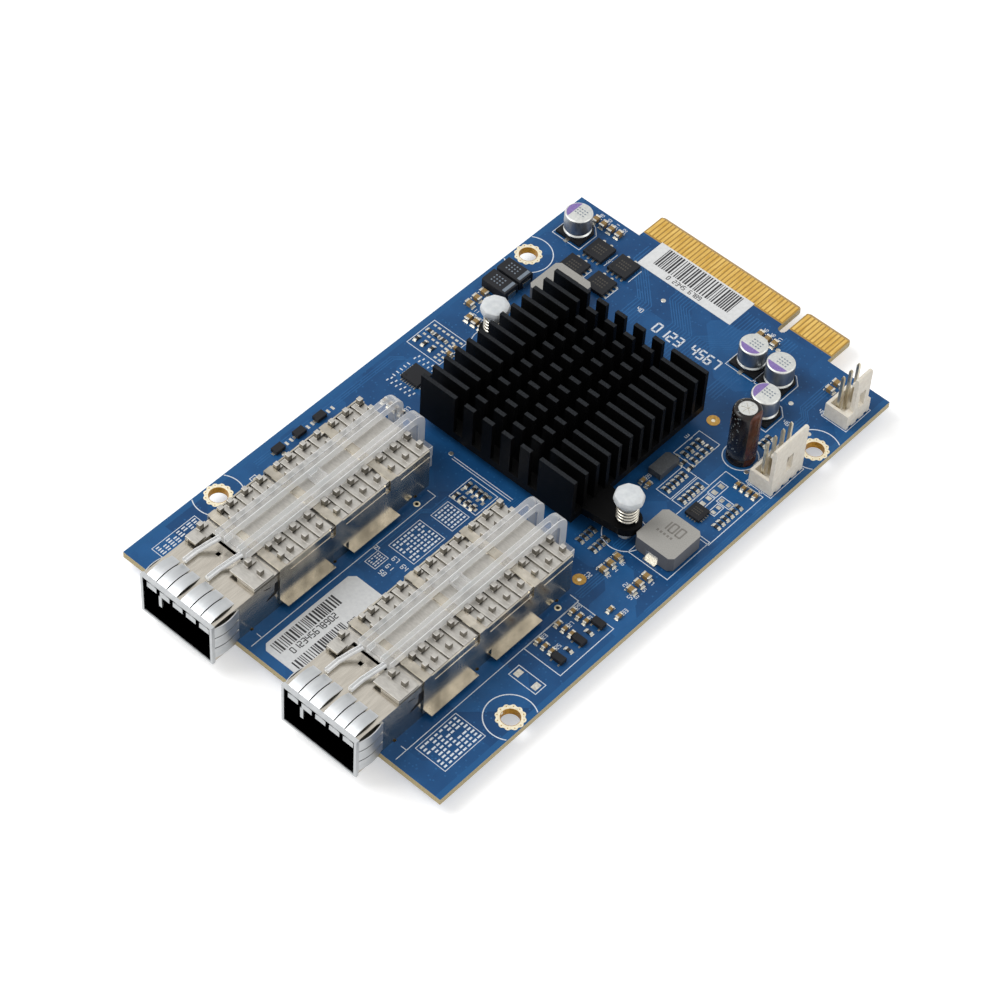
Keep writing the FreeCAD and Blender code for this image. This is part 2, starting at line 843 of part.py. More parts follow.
def pipe_bar(x):
    """One wide bar: a straight run, a quarter bend and a leg down to its light."""
    center_y = pipe_rear - pipe_bend_radius
    center_z = bar_top - pipe_bend_radius
    outer = quarter_bend(center_y, center_z, pipe_bend_radius)
    inner = quarter_bend(center_y, center_z, pipe_bend_radius - pipe_bar_height)
    start = front + pipe_frame_start
    low = top + port_led_height + pipe_led_gap
    path = [(start, bar_bottom), (start, bar_top)] + outer
    path += [(pipe_rear, low), (pipe_rear - pipe_bar_height, low)]
    path += inner[::-1]
    points = [Vector(x - pipe_bar_width / 2, y, z) for y, z in path]
    return Part.Face(Part.makePolygon(points + points[:1])).extrude(Vector(pipe_bar_width, 0, 0))


def make_light_pipe(center):
    """Clear light pipe: two bars, two bridges, a rear foot and two front rods."""
    r = pipe_rod_radius
    tip_z = cage_top + r + pipe_rod_gap
    tip_y = front + pipe_tip
    frame_y0 = front + pipe_frame_start
    frame_y1 = front + pipe_frame_end
    left_bar, right_bar = pipe_bar_offsets
    half_bar = pipe_bar_width / 2
    pieces = [pipe_bar(left_bar), pipe_bar(right_bar)]
    pieces.append(block(left_bar - half_bar, right_bar + half_bar, frame_y0, frame_y1,
                        bar_bottom, bar_top - pipe_frame_recess))
    bridge = front + pipe_bridge_start
    pieces.append(block(left_bar, right_bar, bridge, bridge + pipe_bridge_length,
                        bar_bottom, bar_top - pipe_bridge_recess))
    web_y0 = pipe_rear - pipe_bar_height
    web_y1 = pipe_rear - pipe_rear_web_inset
    web_low = top + pipe_rear_web_bottom
    web_high = top + pipe_rear_web_top
    pieces.append(block(left_bar, right_bar, web_y0, web_y1, web_low, web_high))
    arm_x = right_bar + half_bar
    foot_x = arm_x + pipe_foot_arm
    pieces.append(block(arm_x - pipe_foot_root, foot_x + pipe_foot_width,
                        web_y0, web_y1, web_low, web_high))
    pieces.append(block(foot_x, foot_x + pipe_foot_width, web_y0, web_y1, top, web_high))
    for rod_x, bar_x in zip(pipe_rod_offsets, pipe_bar_offsets):
        path = [Vector(rod_x, tip_y, tip_z), Vector(rod_x, front + pipe_knee, tip_z),
                Vector(bar_x, frame_y0 + pipe_rod_root, bar_bottom + r + pipe_rod_gap)]
        pieces.append(bent_rod(path, r))
    return moved(joined(pieces), center)


def make_port_leds():
    """Small lamps on the board beneath the rear ends of the light pipes."""
    lamps = []
    y = pipe_rear - pipe_bar_height / 2
    for center in cage_centers:
        for offset in pipe_bar_offsets:
            lamps.append(centred(center + offset, y, port_led_length, port_led_width,
                                 top, top + port_led_height))
    return Part.makeCompound(lamps)


# ---------------------------------------------------------------- cooled controller
def make_chip():
    """Controller package: square carrier with a raised die."""
    carrier = centred(chip_center_x, chip_center_y, chip_size, chip_size, top, top + chip_height)
    die = centred(chip_center_x, chip_center_y, die_size, die_size, top + chip_height,
                  top + chip_height + die_height)
    return joined([carrier, die])


def make_thermal_pad():
    """Soft pad between the die and the heat sink."""
    z = sink_bottom - pad_thickness
    return centred(chip_center_x, chip_center_y, die_size, die_size, z, sink_bottom)


def ear_outline(px, py):
    """Corners of the straight web that carries a round ear out from the plate."""
    inner_x = chip_center_x + math.copysign(sink_plate_width / 2 - ear_web_root, px - chip_center_x)
    wide = ear_radius + ear_web_flare
    return [(inner_x, py - wide), (px, py - ear_radius), (px, py + ear_radius), (inner_x, py + wide)]


def make_heat_sink():
    """Black heat sink: plate with two round ears, and fins crossed by straight cuts."""
    half_w = sink_plate_width / 2
    half_l = sink_length / 2
    plate = block(chip_center_x - half_w, chip_center_x + half_w, chip_center_y - half_l,
                  chip_center_y + half_l, sink_bottom, sink_plate_top)
    pieces = [plate]
    for px, py in push_pin_places:
        pieces.append(prism(ear_outline(px, py), sink_bottom, sink_plate_top))
        pieces.append(peg(px, py, ear_radius, sink_bottom, sink_plate_top, ear_sides))
    edges = [-half_w] + [c + s * cross_cut_width / 2 for c in spread(cross_cut_count, cross_cut_pitch)
                         for s in (-1, 1)] + [half_w]
    for y in spread(fin_count, fin_pitch):
        for x0, x1 in zip(edges[0::2], edges[1::2]):
            pieces.append(centred(chip_center_x + (x0 + x1) / 2, chip_center_y + y, x1 - x0, fin_thickness,
                                  sink_plate_top, sink_plate_top + fin_height))
    holes = [peg(x, y, pin_hole_radius, sink_bottom - cut_margin, sink_plate_top + cut_margin, pin_sides)
             for x, y in push_pin_places]
    return carved(joined(pieces), holes)


def make_push_pin(x, y):
    """Nylon push pin: domed eight-sided head, shank, and a split barb below the board."""
    z_head = sink_plate_top + pin_gap_above_ear
    z_rim = z_head + pin_head_height * pin_rim_share
    r = pin_head_radius
    head = peg(0, 0, r, z_head, z_rim)
    crown = taper(0, 0, r, r * pin_crown_share, z_rim, z_head + pin_head_height)
    shank = peg(0, 0, pin_shank_radius, 0, z_head, pin_sides)
    barb = taper(0, 0, pin_shank_radius * pin_barb_tip_share, pin_barb_radius,
                 -pin_barb_length, 0, pin_sides)
    split = centred(0, 0, pin_slot, 3 * pin_barb_radius, -pin_barb_length - cut_margin,
                    top + pin_slot_above_board)
    return moved(joined([head, crown, shank, barb]).cut(split), x, y)


def make_spring(x, y):
    """Compression spring between the ear and the push pin's head, as short straight lengths of wire."""
    wire_half = spring_wire_radius * math.sin(math.pi / 4)
    gap = pin_gap_above_ear - 2 * wire_half - spring_end_gap
    mean = pin_shank_radius + spring_clearance + spring_wire_radius
    steps = int(round(spring_turns * spring_steps_per_turn))
    section = polygon(spring_wire_radius, 4)
    rings = []
    for i in range(steps + 1):
        angle = 2 * math.pi * i / spring_steps_per_turn
        high = gap * i / steps
        rings.append([Vector((mean + pr) * math.cos(angle), (mean + pr) * math.sin(angle), high + pz)
                      for pr, pz in section])
    lift = sink_plate_top + wire_half + spring_end_gap / 2
    return moved(skinned(rings, True), x, y, lift)


# ---------------------------------------------------------------- power parts
inductor_places = ((left + left_inductor_inset,
                    chip_center_y + sink_length / 2 + left_inductor_sink_gap + inductor_size / 2),
                   (right_pin[0] + ear_radius + right_inductor_ear_gap + inductor_size / 2,
                    right_pin[1] + right_inductor_dy))
can_places = from_anchor(rear_left, rear_left_can_offsets) + from_anchor(tongue_root, tongue_can_offsets)
mosfet_places = [(x, y, 0) for x, y in from_anchor(rear_left, upright_mosfet_offsets)]
mosfet_places += [(x, y, 90) for x, y in from_anchor(rear_left, turned_mosfet_offsets)]
tantalum_places = from_anchor(rear_left, tantalum_offsets)


def make_inductor(x, y):
    """Moulded block with cut upright corners and recessed terminal sides."""
    h = inductor_size / 2
    c = inductor_corner
    outline = [(-h + c, -h), (h - c, -h), (h, -h + c), (h, h - c),
               (h - c, h), (-h + c, h), (-h, h - c), (-h, -h + c)]
    body = prism([(x + px, y + py) for px, py in outline],
                 top + inductor_terminal_thickness, top + inductor_height)
    recesses = [block(x - inductor_terminal_width / 2, x + inductor_terminal_width / 2,
                      *sorted((y + s * (h - inductor_terminal_thickness), y + s * (h + cut_margin))),
                      top, top + inductor_height * inductor_recess_share) for s in (-1, 1)]
    return carved(body, recesses)


def make_inductor_terminals():
    """Folded tinned terminals at the front and rear of each inductor."""
    h = inductor_size / 2
    t = inductor_terminal_thickness
    terminals = []
    for x, y in inductor_places:
        for s in (-1, 1):
            upright = block(x - inductor_terminal_width / 2, x + inductor_terminal_width / 2,
                            *sorted((y + s * (h - t), y + s * h)),
                            top, top + inductor_height * inductor_recess_share)
            inner = y + s * (h - inductor_terminal_foot)
            outer = y + s * (h + inductor_terminal_reach)
            foot = block(x - inductor_terminal_width / 2, x + inductor_terminal_width / 2,
                         *sorted((inner, outer)), top, top + t)
            terminals.append(joined([upright, foot]))
    return Part.makeCompound(terminals)


def make_can(x, y):
    """Aluminium can with a bevelled rim."""
    z0 = top + can_base_height
    z1 = z0 + can_height
    profile = [(can_radius, z0), (can_radius, z1 - can_edge), (can_radius - can_edge, z1)]
    return moved(lathed(profile, can_sides), x, y)


def make_can_base(x, y):
    """Black plastic seat with two cut corners."""
    h = can_base_size / 2
    c = can_base_cut
    outline = [(-h, -h), (h, -h), (h, h - c), (h - c, h), (-h + c, h), (-h, h - c)]
    return prism([(x + px, y + py) for px, py in outline],
                 top + can_terminal_thickness, top + can_base_height)


def make_can_terminals():
    """Flat terminals at two sides of each capacitor seat."""
    h = can_base_size / 2
    terminals = []
    for x, y in can_places:
        for s in (-1, 1):
            inner = y + s * (h - can_terminal_foot)
            outer = y + s * (h + can_terminal_reach)
            terminals.append(block(x - can_terminal_width / 2, x + can_terminal_width / 2,
                                   *sorted((inner, outer)), top, top + can_terminal_thickness))
    return Part.makeCompound(terminals)


def make_radial_can():
    """Tall aluminium can with a bevelled, scored top."""
    r = radial_radius - radial_sleeve
    z1 = top + radial_height - radial_sleeve
    foot = top + radial_stand_off
    can = lathed([(r, foot), (r, z1 - radial_shoulder), (r - radial_shoulder, z1)], can_sides)
    score = [centred(0, 0, score_length, score_width, z1 - score_depth, z1 + cut_margin),
             centred(0, 0, score_width, score_length, z1 - score_depth, z1 + cut_margin)]
    return moved(carved(can, score), *radial_center)


def make_radial_sleeve():
    """Shrunk sleeve round the tall can, rolled over its top edge."""
    r = radial_radius - radial_sleeve
    t = radial_sleeve
    z1 = top + radial_height
    foot = top + radial_stand_off
    shoulder = r - radial_shoulder
    outside = lathed([(r + t, foot), (r + t, z1 - radial_shoulder), (shoulder, z1)], can_sides)
    core = lathed([(r, foot - cut_margin), (r, z1 - t - radial_shoulder), (shoulder, z1 - t)], can_sides)
    opening = lathed([(shoulder - radial_lip, top), (shoulder - radial_lip, z1 + cut_margin)], can_sides)
    return moved(carved(outside, [core, opening]), *radial_center)


def make_radial_leads():
    """The tall capacitor's two wires, through the board."""
    return Part.makeCompound([peg(x, y, radial_lead_radius, -lead_tail, top + radial_stand_off)
                              for x, y in radial_leads()])


def make_mosfets():
    """Flat power transistors, bodies only."""
    bodies = []
    for x, y, turn in mosfet_places:
        body = centred(0, 0, mosfet_width, mosfet_body_length, top + lead_thickness, top + mosfet_height)
        bodies.append(moved(turned_flat(body, turn), x, y))
    return Part.makeCompound(bodies)


def make_mosfet_leads():
    """Leads and cooling tab of the power transistors."""
    leads = []
    half = mosfet_body_length / 2
    for x, y, turn in mosfet_places:
        tab = block(-mosfet_tab_width / 2, mosfet_tab_width / 2, -half + mosfet_tab_inset,
                    half + mosfet_tab_reach, top, top + lead_thickness)
        group = [tab]
        for dx in spread(mosfet_lead_count, mosfet_lead_pitch):
            group.append(block(dx - mosfet_lead_width / 2, dx + mosfet_lead_width / 2,
                               -half - mosfet_lead_reach, -half + mosfet_lead_foot,
                               top, top + lead_thickness))
        for solid in group:
            leads.append(moved(turned_flat(solid, turn), x, y))
    return Part.makeCompound(leads)


def make_tantalums():
    """Moulded tantalum capacitors, with a tapered top half."""
    bodies = []
    for x, y in tantalum_places:
        body = centred(x, y, tantalum_length, tantalum_width, top + tantalum_terminal_thickness,
                       top + tantalum_height)
        long_top_edges = [edge for edge in body.Edges
                          if min(v.Z for v in edge.Vertexes) > top + tantalum_height - skim
                          and abs(edge.Vertexes[0].Y - edge.Vertexes[1].Y) < skim]
        bodies.append(body.makeChamfer(tantalum_bevel, long_top_edges))
    return Part.makeCompound(bodies)


def make_tantalum_ends():
    """Folded terminals at the ends of the tantalum capacitors."""
    ends = []
    h = tantalum_length / 2
    t = tantalum_terminal_thickness
    w = tantalum_terminal_width / 2
    for x, y in tantalum_places:
        for s in (-1, 1):
            outer = x + s * (h + t)
            upright = block(*sorted((x + s * h, outer)), y - w, y + w, top, top + tantalum_terminal_height)
            foot = block(*sorted((x + s * (h - tantalum_terminal_foot), outer)), y - w, y + w, top, top + t)
            ends.append(joined([upright, foot]))
    return Part.makeCompound(ends)


# ---------------------------------------------------------------- fan headers
def make_header(start, count, wall_start, wall_end):
    """Ivory wafer: hollow base, and a tall lock wall on the outer side."""
    length = count * header_pitch
    z1 = top + header_base_height
    wall_x = header_right - header_wall_thickness
    base = block(header_left, header_right, start, start + length, top, z1)
    pocket = block(header_left + header_lip, wall_x - header_wall_root, start + header_lip,
                   start + length - header_lip, top + header_floor, z1 + cut_margin)
    wall_y0 = start + wall_start
    wall_y1 = start + wall_end
    wall_top = top + header_wall_height
    wall = block(wall_x, header_right, wall_y0, wall_y1, top, wall_top)
    long_top_edges = [edge for edge in wall.Edges
                      if min(v.Z for v in edge.Vertexes) > wall_top - skim
                      and abs(edge.Vertexes[0].X - edge.Vertexes[1].X) < skim]
    wall = wall.makeChamfer(header_wall_bevel, long_top_edges)
    hook_top = wall_top - header_hook_drop
    hook = block(wall_x - header_wall_root, wall_x, wall_y0, wall_y1,
                 hook_top - header_hook_height, hook_top)
    middle = (wall_y0 + wall_y1) / 2
    sill = z1 + header_window_sill
    window = block(wall_x - cut_margin, header_right + cut_margin, middle - lock_window_width / 2,
                   middle + lock_window_width / 2, sill, sill + lock_window_height)
    pins = header_pins(start, count)
    holes = [centred(x, y, header_pin_size, header_pin_size, top - cut_margin, z1) for x, y in pins]
    notches = [block(header_right - header_notch_depth, header_right + cut_margin,
                     y - header_notch_width / 2, y + header_notch_width / 2,
                     top - cut_margin, top + header_notch_height) for x, y in pins]
    return carved(joined([base.cut(pocket), wall, hook]), [window] + holes + notches)


def make_header_pins():
    """Square tinned pins of both headers, through the board."""
    half = header_pin_size / 2
    fine = half * header_pin_tip_share
    shoulder = top + header_pin_top - header_pin_tip
    pins = []
    for x, y in header_pin_places:
        pin = centred(x, y, header_pin_size, header_pin_size, -lead_tail, shoulder)
        tip = Part.makeWedge(-half, 0, -half, -fine, -fine, half, header_pin_tip, half, fine, fine)
        tip.rotate(Vector(0, 0, 0), Vector(1, 0, 0), 90)
        tip.translate(Vector(x, y, shoulder))
        pins.append(joined([pin, tip]))
    return Part.makeCompound(pins)


def make_solder():
    """Solder cones round the through leads, under the board."""
    cones = []
    for x, y in header_pin_places:
        cone = taper(x, y, header_pin_size * solder_tip_share, solder_radius,
                     -solder_height, 0, solder_sides)
        hole = centred(x, y, header_pin_size, header_pin_size, -solder_height - cut_margin, cut_margin)
        cones.append(cone.cut(hole))
    for x, y in radial_leads():
        cone = taper(x, y, radial_lead_radius + radial_solder_collar, solder_radius, -solder_height, 0)
        cones.append(cone.cut(peg(x, y, radial_lead_radius, -solder_height - cut_margin, cut_margin)))
    return Part.makeCompound(cones)


# ---------------------------------------------------------------- small packages
driver_place, monitor_place, oscillator_place = from_anchor(
    chip, (driver_offset, monitor_offset, oscillator_offset))
sot_places = from_anchor(right_cage, sot_offsets)
diode_places = from_anchor(front_left, diode_offsets)


def package_leads(x, y, size, per_side, pitch):
    """Flat leads round the four sides of a square package."""
    leads = []
    for side in range(4):
        for offset in spread(per_side, pitch):
            lead = block(size / 2 - lead_foot, size / 2 + lead_reach, offset - lead_width / 2,
                         offset + lead_width / 2, top, top + lead_thickness)
            leads.append(moved(turned_flat(lead, 90 * side), x, y))
    return leads


def make_driver():
    """Flat power controller."""
    x, y = driver_place
    return centred(x, y, driver_size, driver_size, top + lead_thickness, top + driver_height)


def make_monitor():
    """Square monitor chip."""
    x, y = monitor_place
    return centred(x, y, monitor_size, monitor_size, top + lead_thickness, top + monitor_height)


def make_oscillator():
    """Oscillator with a cut corner."""
    x, y = oscillator_place
    w = oscillator_width / 2
    h = oscillator_length / 2
    c = oscillator_corner
    return prism([(x - w, y - h), (x + w, y - h), (x + w, y + h), (x - w + c, y + h), (x - w, y + h - c)],
                 top, top + oscillator_height)


def make_package_leads():
    """Leads of the driver and monitor chips."""
    x, y = driver_place
    leads = package_leads(x, y, driver_size - driver_lead_recess, driver_leads_per_side, driver_lead_pitch)
    x, y = monitor_place
    leads += package_leads(x, y, monitor_size, monitor_leads_per_side, monitor_lead_pitch)
    return Part.makeCompound(leads)


def small_lead(x, y, side, body_length, width):
    """Flat lead at one end of a small body, partly beneath it."""
    inner = y + side * (body_length / 2 - small_lead_foot)
    outer = y + side * (body_length / 2 + small_lead_reach)
    low, high = sorted((inner, outer))
    return block(x - width / 2, x + width / 2, low, high, top, top + small_lead_thickness)


def make_sots():
    """Three small transistors."""
    return Part.makeCompound([centred(x, y, sot_length, sot_width, top + small_lead_thickness,
                                      top + sot_height) for x, y in sot_places])


def make_sot_leads():
    """Their three leads each."""
    leads = []
    for x, y in sot_places:
        for dx, side in ((-sot_lead_spread, -1), (sot_lead_spread, -1), (0.0, 1)):
            leads.append(small_lead(x + dx, y, side, sot_width, sot_lead_width))
    return Part.makeCompound(leads)


def make_diodes():
    """Three small diodes along the left edge."""
    return Part.makeCompound([centred(x, y, diode_width, diode_length, top + small_lead_thickness,
                                      top + diode_height) for x, y in diode_places])


def make_diode_leads():
    """Their end leads."""
    leads = []
    for x, y in diode_places:
        for side in (-1, 1):
            leads.append(small_lead(x, y, side, diode_length, diode_lead_width))
    return Part.makeCompound(leads)


# ---------------------------------------------------------------- chip capacitors and resistors
def row(anchor, ends, pitch):
    """Evenly stepped places between two offsets from an anchor."""
    x0, y0, x1, y1 = ends
    steps = round(math.hypot(x1 - x0, y1 - y0) / pitch)
    return [(anchor[0] + x0 + (x1 - x0) * i / steps, anchor[1] + y0 + (y1 - y0) * i / steps)
            for i in range(steps + 1)]


# each entry: anchor, first and last offset, pitch, whether the parts lie along Y
big_capacitor_rows = (
    (rear_left, (7.0, -3.4, 13.45, -3.4), 2.15, True),
    (rear_left, (4.2, -36.2, 4.2, -40.7), 2.25, False),
    (left_pin, (-8.35, 1.75, -4.65, 1.75), 1.85, True),
    (right_pin, (3.15, -10.35, 3.15, -5.95), 2.2, False),
    (right_pin, (10.45, -10.35, 10.45, -5.75), 2.3, False),
    (tongue_root, (11.35, -4.6, 15.15, -4.6), 1.9, True),
    (rear_right, (-10.8, -4.0, -10.8, -6.4), 2.4, False),
)
small_capacitor_rows = (
    (right_cage, (13.6, 40.1, 17.1, 40.1), 1.75, True),
    (right_cage, (13.6, 45.9, 17.1, 45.9), 1.75, True),
    (right_cage, (13.6, 50.2, 17.1, 50.2), 1.75, True),
    (front_right, (-6.2, 55.6, -3.9, 55.6), 2.3, True),
    (chip, (22.35, -0.55, 23.85, -0.55), 1.5, True),
    (left_cage, (-12.2, 64.2, -7.4, 64.2), 1.6, True),
    (rear_right, (-8.4, -39.4, -3.9, -39.4), 1.5, True),
    (rear_left, (10.6, -54.0, 10.6, -52.0), 2.0, False),
)
resistor_rows = (
    (rear_left, (2.7, -55.4, 6.9, -55.4), 2.1, True),
    (rear_left, (3.3, -52.0, 7.1, -52.0), 1.9, False),
    (right_cage, (19.2, 42.6, 19.2, 48.6), 6.0, False),
    (chip, (27.25, 1.05, 27.25, 6.45), 1.35, False),
    (chip, (31.45, 1.05, 31.45, 6.45), 1.35, False),
    (rear_right, (-21.3, -40.6, -21.3, -35.8), 1.6, False),
    (rear_right, (-18.9, -40.6, -18.9, -35.8), 1.6, False),
    (chip, (40.65, 0.65, 40.65, 7.65), 1.4, False),
    (chip, (23.15, 8.85, 27.15, 8.85), 2.0, True),
    (right_pin, (-5.15, -7.75, -5.15, -3.85), 1.3, False),
    (right_pin, (-1.75, -7.75, -1.75, -3.85), 1.3, False),
    (left_cage, (15.2, 56.0, 19.7, 56.0), 1.5, True),
    (left_cage, (15.2, 59.6, 19.7, 59.6), 1.5, True),
    (rear_right, (-11.6, -25.2, -11.6, -27.8), 1.3, False),
)


def chip_parts(rows, size):
    """One block for every part in some rows."""
    length, width, height = size
    bodies = []
    for anchor, ends, pitch, upright in rows:
        across, along = (width, length) if upright else (length, width)
        bodies += [centred(x, y, across, along, top, top + height) for x, y in row(anchor, ends, pitch)]
    return bodies


# ---------------------------------------------------------------- labels
def make_port_label():
    """Paper label with cut corners, on the board between the two cages."""
    x = sum(cage_centers) / 2
    y0 = front + port_label_front
    y1 = y0 + port_label_length
    half = port_label_width / 2
    c = label_corner
    outline = [(x - half, y0 + c), (x - half + c, y0), (x + half - c, y0), (x + half, y0 + c),
               (x + half, y1 - c), (x + half - c, y1), (x - half + c, y1), (x - half, y1 - c)]
    return prism(outline, top, top + label_thickness)


def make_rear_label():
    """Paper label in front of the gold contacts."""
    x0 = tongue_left + rear_label_left_inset
    y0 = back - rear_label_from_back
    return block(x0, x0 + rear_label_width, y0, y0 + rear_label_length, top, top + label_thickness)


# ---------------------------------------------------------------- nodes
nodes = {
    "circuit_board": make_board(),
    "edge_contacts": make_contacts(),
    "mounting_hole_rings": make_hole_rings(),
    "test_point_rings": make_test_rings(),
    "port_leds": make_port_leds(),
    "controller_chip": make_chip(),
    "thermal_pad": make_thermal_pad(),
    "main_heat_sink": make_heat_sink(),
    "push_pins": Part.makeCompound([make_push_pin(x, y) for x, y in push_pin_places]),
    "push_pin_springs": Part.makeCompound([make_spring(x, y) for x, y in push_pin_places]),
    "power_inductors": Part.makeCompound([make_inductor(x, y) for x, y in inductor_places]),
    "inductor_terminals": make_inductor_terminals(),
    "polymer_capacitor_cans": Part.makeCompound([make_can(x, y) for x, y in can_places]),
    "polymer_capacitor_seats": Part.makeCompound([make_can_base(x, y) for x, y in can_places]),
    "polymer_capacitor_terminals": make_can_terminals(),
    "radial_capacitor_can": make_radial_can(),
    "radial_capacitor_sleeve": make_radial_sleeve(),
    "radial_capacitor_leads": make_radial_leads(),
    "power_transistors": make_mosfets(),
    "power_transistor_leads": make_mosfet_leads(),
    "tantalum_capacitors": make_tantalums(),
    "tantalum_terminals": make_tantalum_ends(),
    "fan_header_4pin": make_header(four_pin_front, four_pin_count, 0.0, four_pin_count * header_pitch),
    "fan_header_3pin": make_header(three_pin_front, three_pin_count, three_pin_wall_start,
                                   three_pin_wall_end),
    "fan_header_pins": make_header_pins(),
    "solder_joints": make_solder(),
    "power_driver_chip": make_driver(),
    "monitor_chip": make_monitor(),
    "chip_leads": make_package_leads(),
    "oscillator": make_oscillator(),
    "small_transistors": make_sots(),
    "small_transistor_leads": make_sot_leads(),
    "small_diodes": make_diodes(),
    "small_diode_leads": make_diode_leads(),
    "big_ceramic_capacitors": Part.makeCompound(chip_parts(big_capacitor_rows, big_capacitor)),
    "small_ceramic_capacitors": Part.makeCompound(chip_parts(small_capacitor_rows, small_capacitor)),
    "chip_resistors": Part.makeCompound(chip_parts(resistor_rows, resistor)),
    "port_label": make_port_label(),
    "rear_label": make_rear_label(),
}
for side_name, cage_center in zip(("left", "right"), cage_centers):
    nodes["cage_" + side_name] = make_cage(cage_center)
    nodes["spring_collar_" + side_name] = make_collar(cage_center)
    nodes["host_connector_" + side_name] = make_host_connector(cage_center)
    nodes["cage_heat_sink_" + side_name] = make_rider(cage_center)
    nodes["sink_clip_" + side_name] = make_clip(cage_center)
    nodes["light_pipe_" + side_name] = make_light_pipe(cage_center)

os.makedirs("parts", exist_ok=True)
for node_name, shape in nodes.items():
    shape.exportStep(os.path.join("parts", node_name + ".step"))
    print(node_name, len(shape.Solids), "solids", round(shape.Volume, 2), "mm3", shape.isValid())
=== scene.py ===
import math
import random

import bmesh
import bpy
from mathutils import Matrix, Vector


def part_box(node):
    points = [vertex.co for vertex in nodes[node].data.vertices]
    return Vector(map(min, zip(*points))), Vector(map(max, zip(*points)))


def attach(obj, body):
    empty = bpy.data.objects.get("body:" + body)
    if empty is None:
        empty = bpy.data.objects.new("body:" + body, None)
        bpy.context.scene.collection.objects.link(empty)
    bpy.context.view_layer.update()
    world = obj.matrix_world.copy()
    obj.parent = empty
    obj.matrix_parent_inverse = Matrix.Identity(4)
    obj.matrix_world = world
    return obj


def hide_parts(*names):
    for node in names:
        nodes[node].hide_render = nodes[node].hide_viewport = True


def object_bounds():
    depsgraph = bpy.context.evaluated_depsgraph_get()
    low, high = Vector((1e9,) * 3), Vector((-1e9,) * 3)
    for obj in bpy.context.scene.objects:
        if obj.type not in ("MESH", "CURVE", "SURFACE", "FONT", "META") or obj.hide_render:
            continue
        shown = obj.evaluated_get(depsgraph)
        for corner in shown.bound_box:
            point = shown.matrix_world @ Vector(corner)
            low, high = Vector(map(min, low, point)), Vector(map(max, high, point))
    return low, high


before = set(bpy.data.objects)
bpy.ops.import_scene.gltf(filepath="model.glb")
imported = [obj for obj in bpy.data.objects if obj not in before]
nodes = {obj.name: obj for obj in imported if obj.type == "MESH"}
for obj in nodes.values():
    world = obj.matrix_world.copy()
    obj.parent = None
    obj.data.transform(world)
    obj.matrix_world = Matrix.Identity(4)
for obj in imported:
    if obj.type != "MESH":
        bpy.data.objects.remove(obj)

MM = 0.001
cad_low, cad_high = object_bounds()
SIDES = ("left", "right")


# ---------------------------------------------------------------- sizes from the frame
def span(name):
    """A node's lowest and highest corners, in millimetres."""
    low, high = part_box(name)
    return Vector(low) / MM, Vector(high) / MM


def islands(name):
    """Boxes, in millimetres, of the separate solids in a node."""
    bm = bmesh.new()
    bm.from_mesh(nodes[name].data)
    bmesh.ops.remove_doubles(bm, verts=bm.verts, dist=1e-7)
    boxes = []
    waiting = set(bm.verts)
    while waiting:
        group = [waiting.pop()]
        low = group[0].co.copy()
        high = group[0].co.copy()
        while group:
            vert = group.pop()
            low = Vector(map(min, low, vert.co))
            high = Vector(map(max, high, vert.co))
            for edge in vert.link_edges:
                other = edge.other_vert(vert)
                if other in waiting:
                    waiting.discard(other)
                    group.append(other)
        boxes.append((low / MM, high / MM))
    bm.free()
    return sorted(boxes, key=lambda box: (round(box[0].y, 3), round(box[0].x, 3)))


def middle_of(low, high):
    """Middle of a box, seen from above."""
    return (low.x + high.x) / 2, (low.y + high.y) / 2


board_low, board_high = span("circuit_board")
TOP = board_high.z
LEFT, RIGHT = board_low.x, board_high.x
FRONT = board_low.y
hole_rings = islands("mounting_hole_rings")
hole_places = [middle_of(low, high) for low, high in hole_rings]
hole_ring_radius = (hole_rings[0][1].x - hole_rings[0][0].x) / 2
contacts_front = span("edge_contacts")[0].y
cage_boxes = {side: span("cage_" + side) for side in SIDES}
cage_middle = {side: middle_of(low, high)[0] for side, (low, high) in cage_boxes.items()}
sink_boxes = {side: span("cage_heat_sink_" + side) for side in SIDES}
SINK_FOOT = 0.45  # depth by which the cage sinks reach down through the roofs of the cages
roof_z = sink_boxes["left"][0].z + SINK_FOOT
cage_half = (sink_boxes["left"][1].x - sink_boxes["left"][0].x) / 2
FIRST_STRAP, STRAP_PITCH = 12.4, 15.45
strap_places = [FRONT + FIRST_STRAP + i * STRAP_PITCH for i in range(3)]


def spot(x, y):
    """Place on the board, from its front left corner."""
    return LEFT + x, FRONT + y


# ---------------------------------------------------------------- finishes
def tint(code):
    """Linear colour from an sRGB hex value."""
    parts = [int(code[i:i + 2], 16) / 255 for i in (1, 3, 5)]
    return [c / 12.92 if c <= 0.04045 else ((c + 0.055) / 1.055) ** 2.4 for c in parts] + [1.0]


def add(tree, kind, settings=None, links=None):
    """Adds a node with its settings and links, and gives its outputs; "stops" fills a colour ramp."""
    node = tree.nodes.new(kind)
    for key, value in (settings or {}).items():
        if key == "stops":
            while len(node.color_ramp.elements) < len(value):
                node.color_ramp.elements.new(0.5)
            for element, (position, code) in zip(node.color_ramp.elements, value):
                element.position = position
                element.color = tint(code)
        elif isinstance(key, int) or key in node.inputs:
            node.inputs[key].default_value = value
        else:
            setattr(node, key, value)
    for key, source in (links or {}).items():
        tree.links.new(source, node.inputs[key])
    return node.outputs


def begin(name):
    """An empty material, its tree and the object's own coordinates."""
    material = bpy.data.materials.new(name)
    material.use_nodes = True
    tree = material.node_tree
    tree.nodes.clear()
    return material, tree, add(tree, "ShaderNodeTexCoord")["Object"]


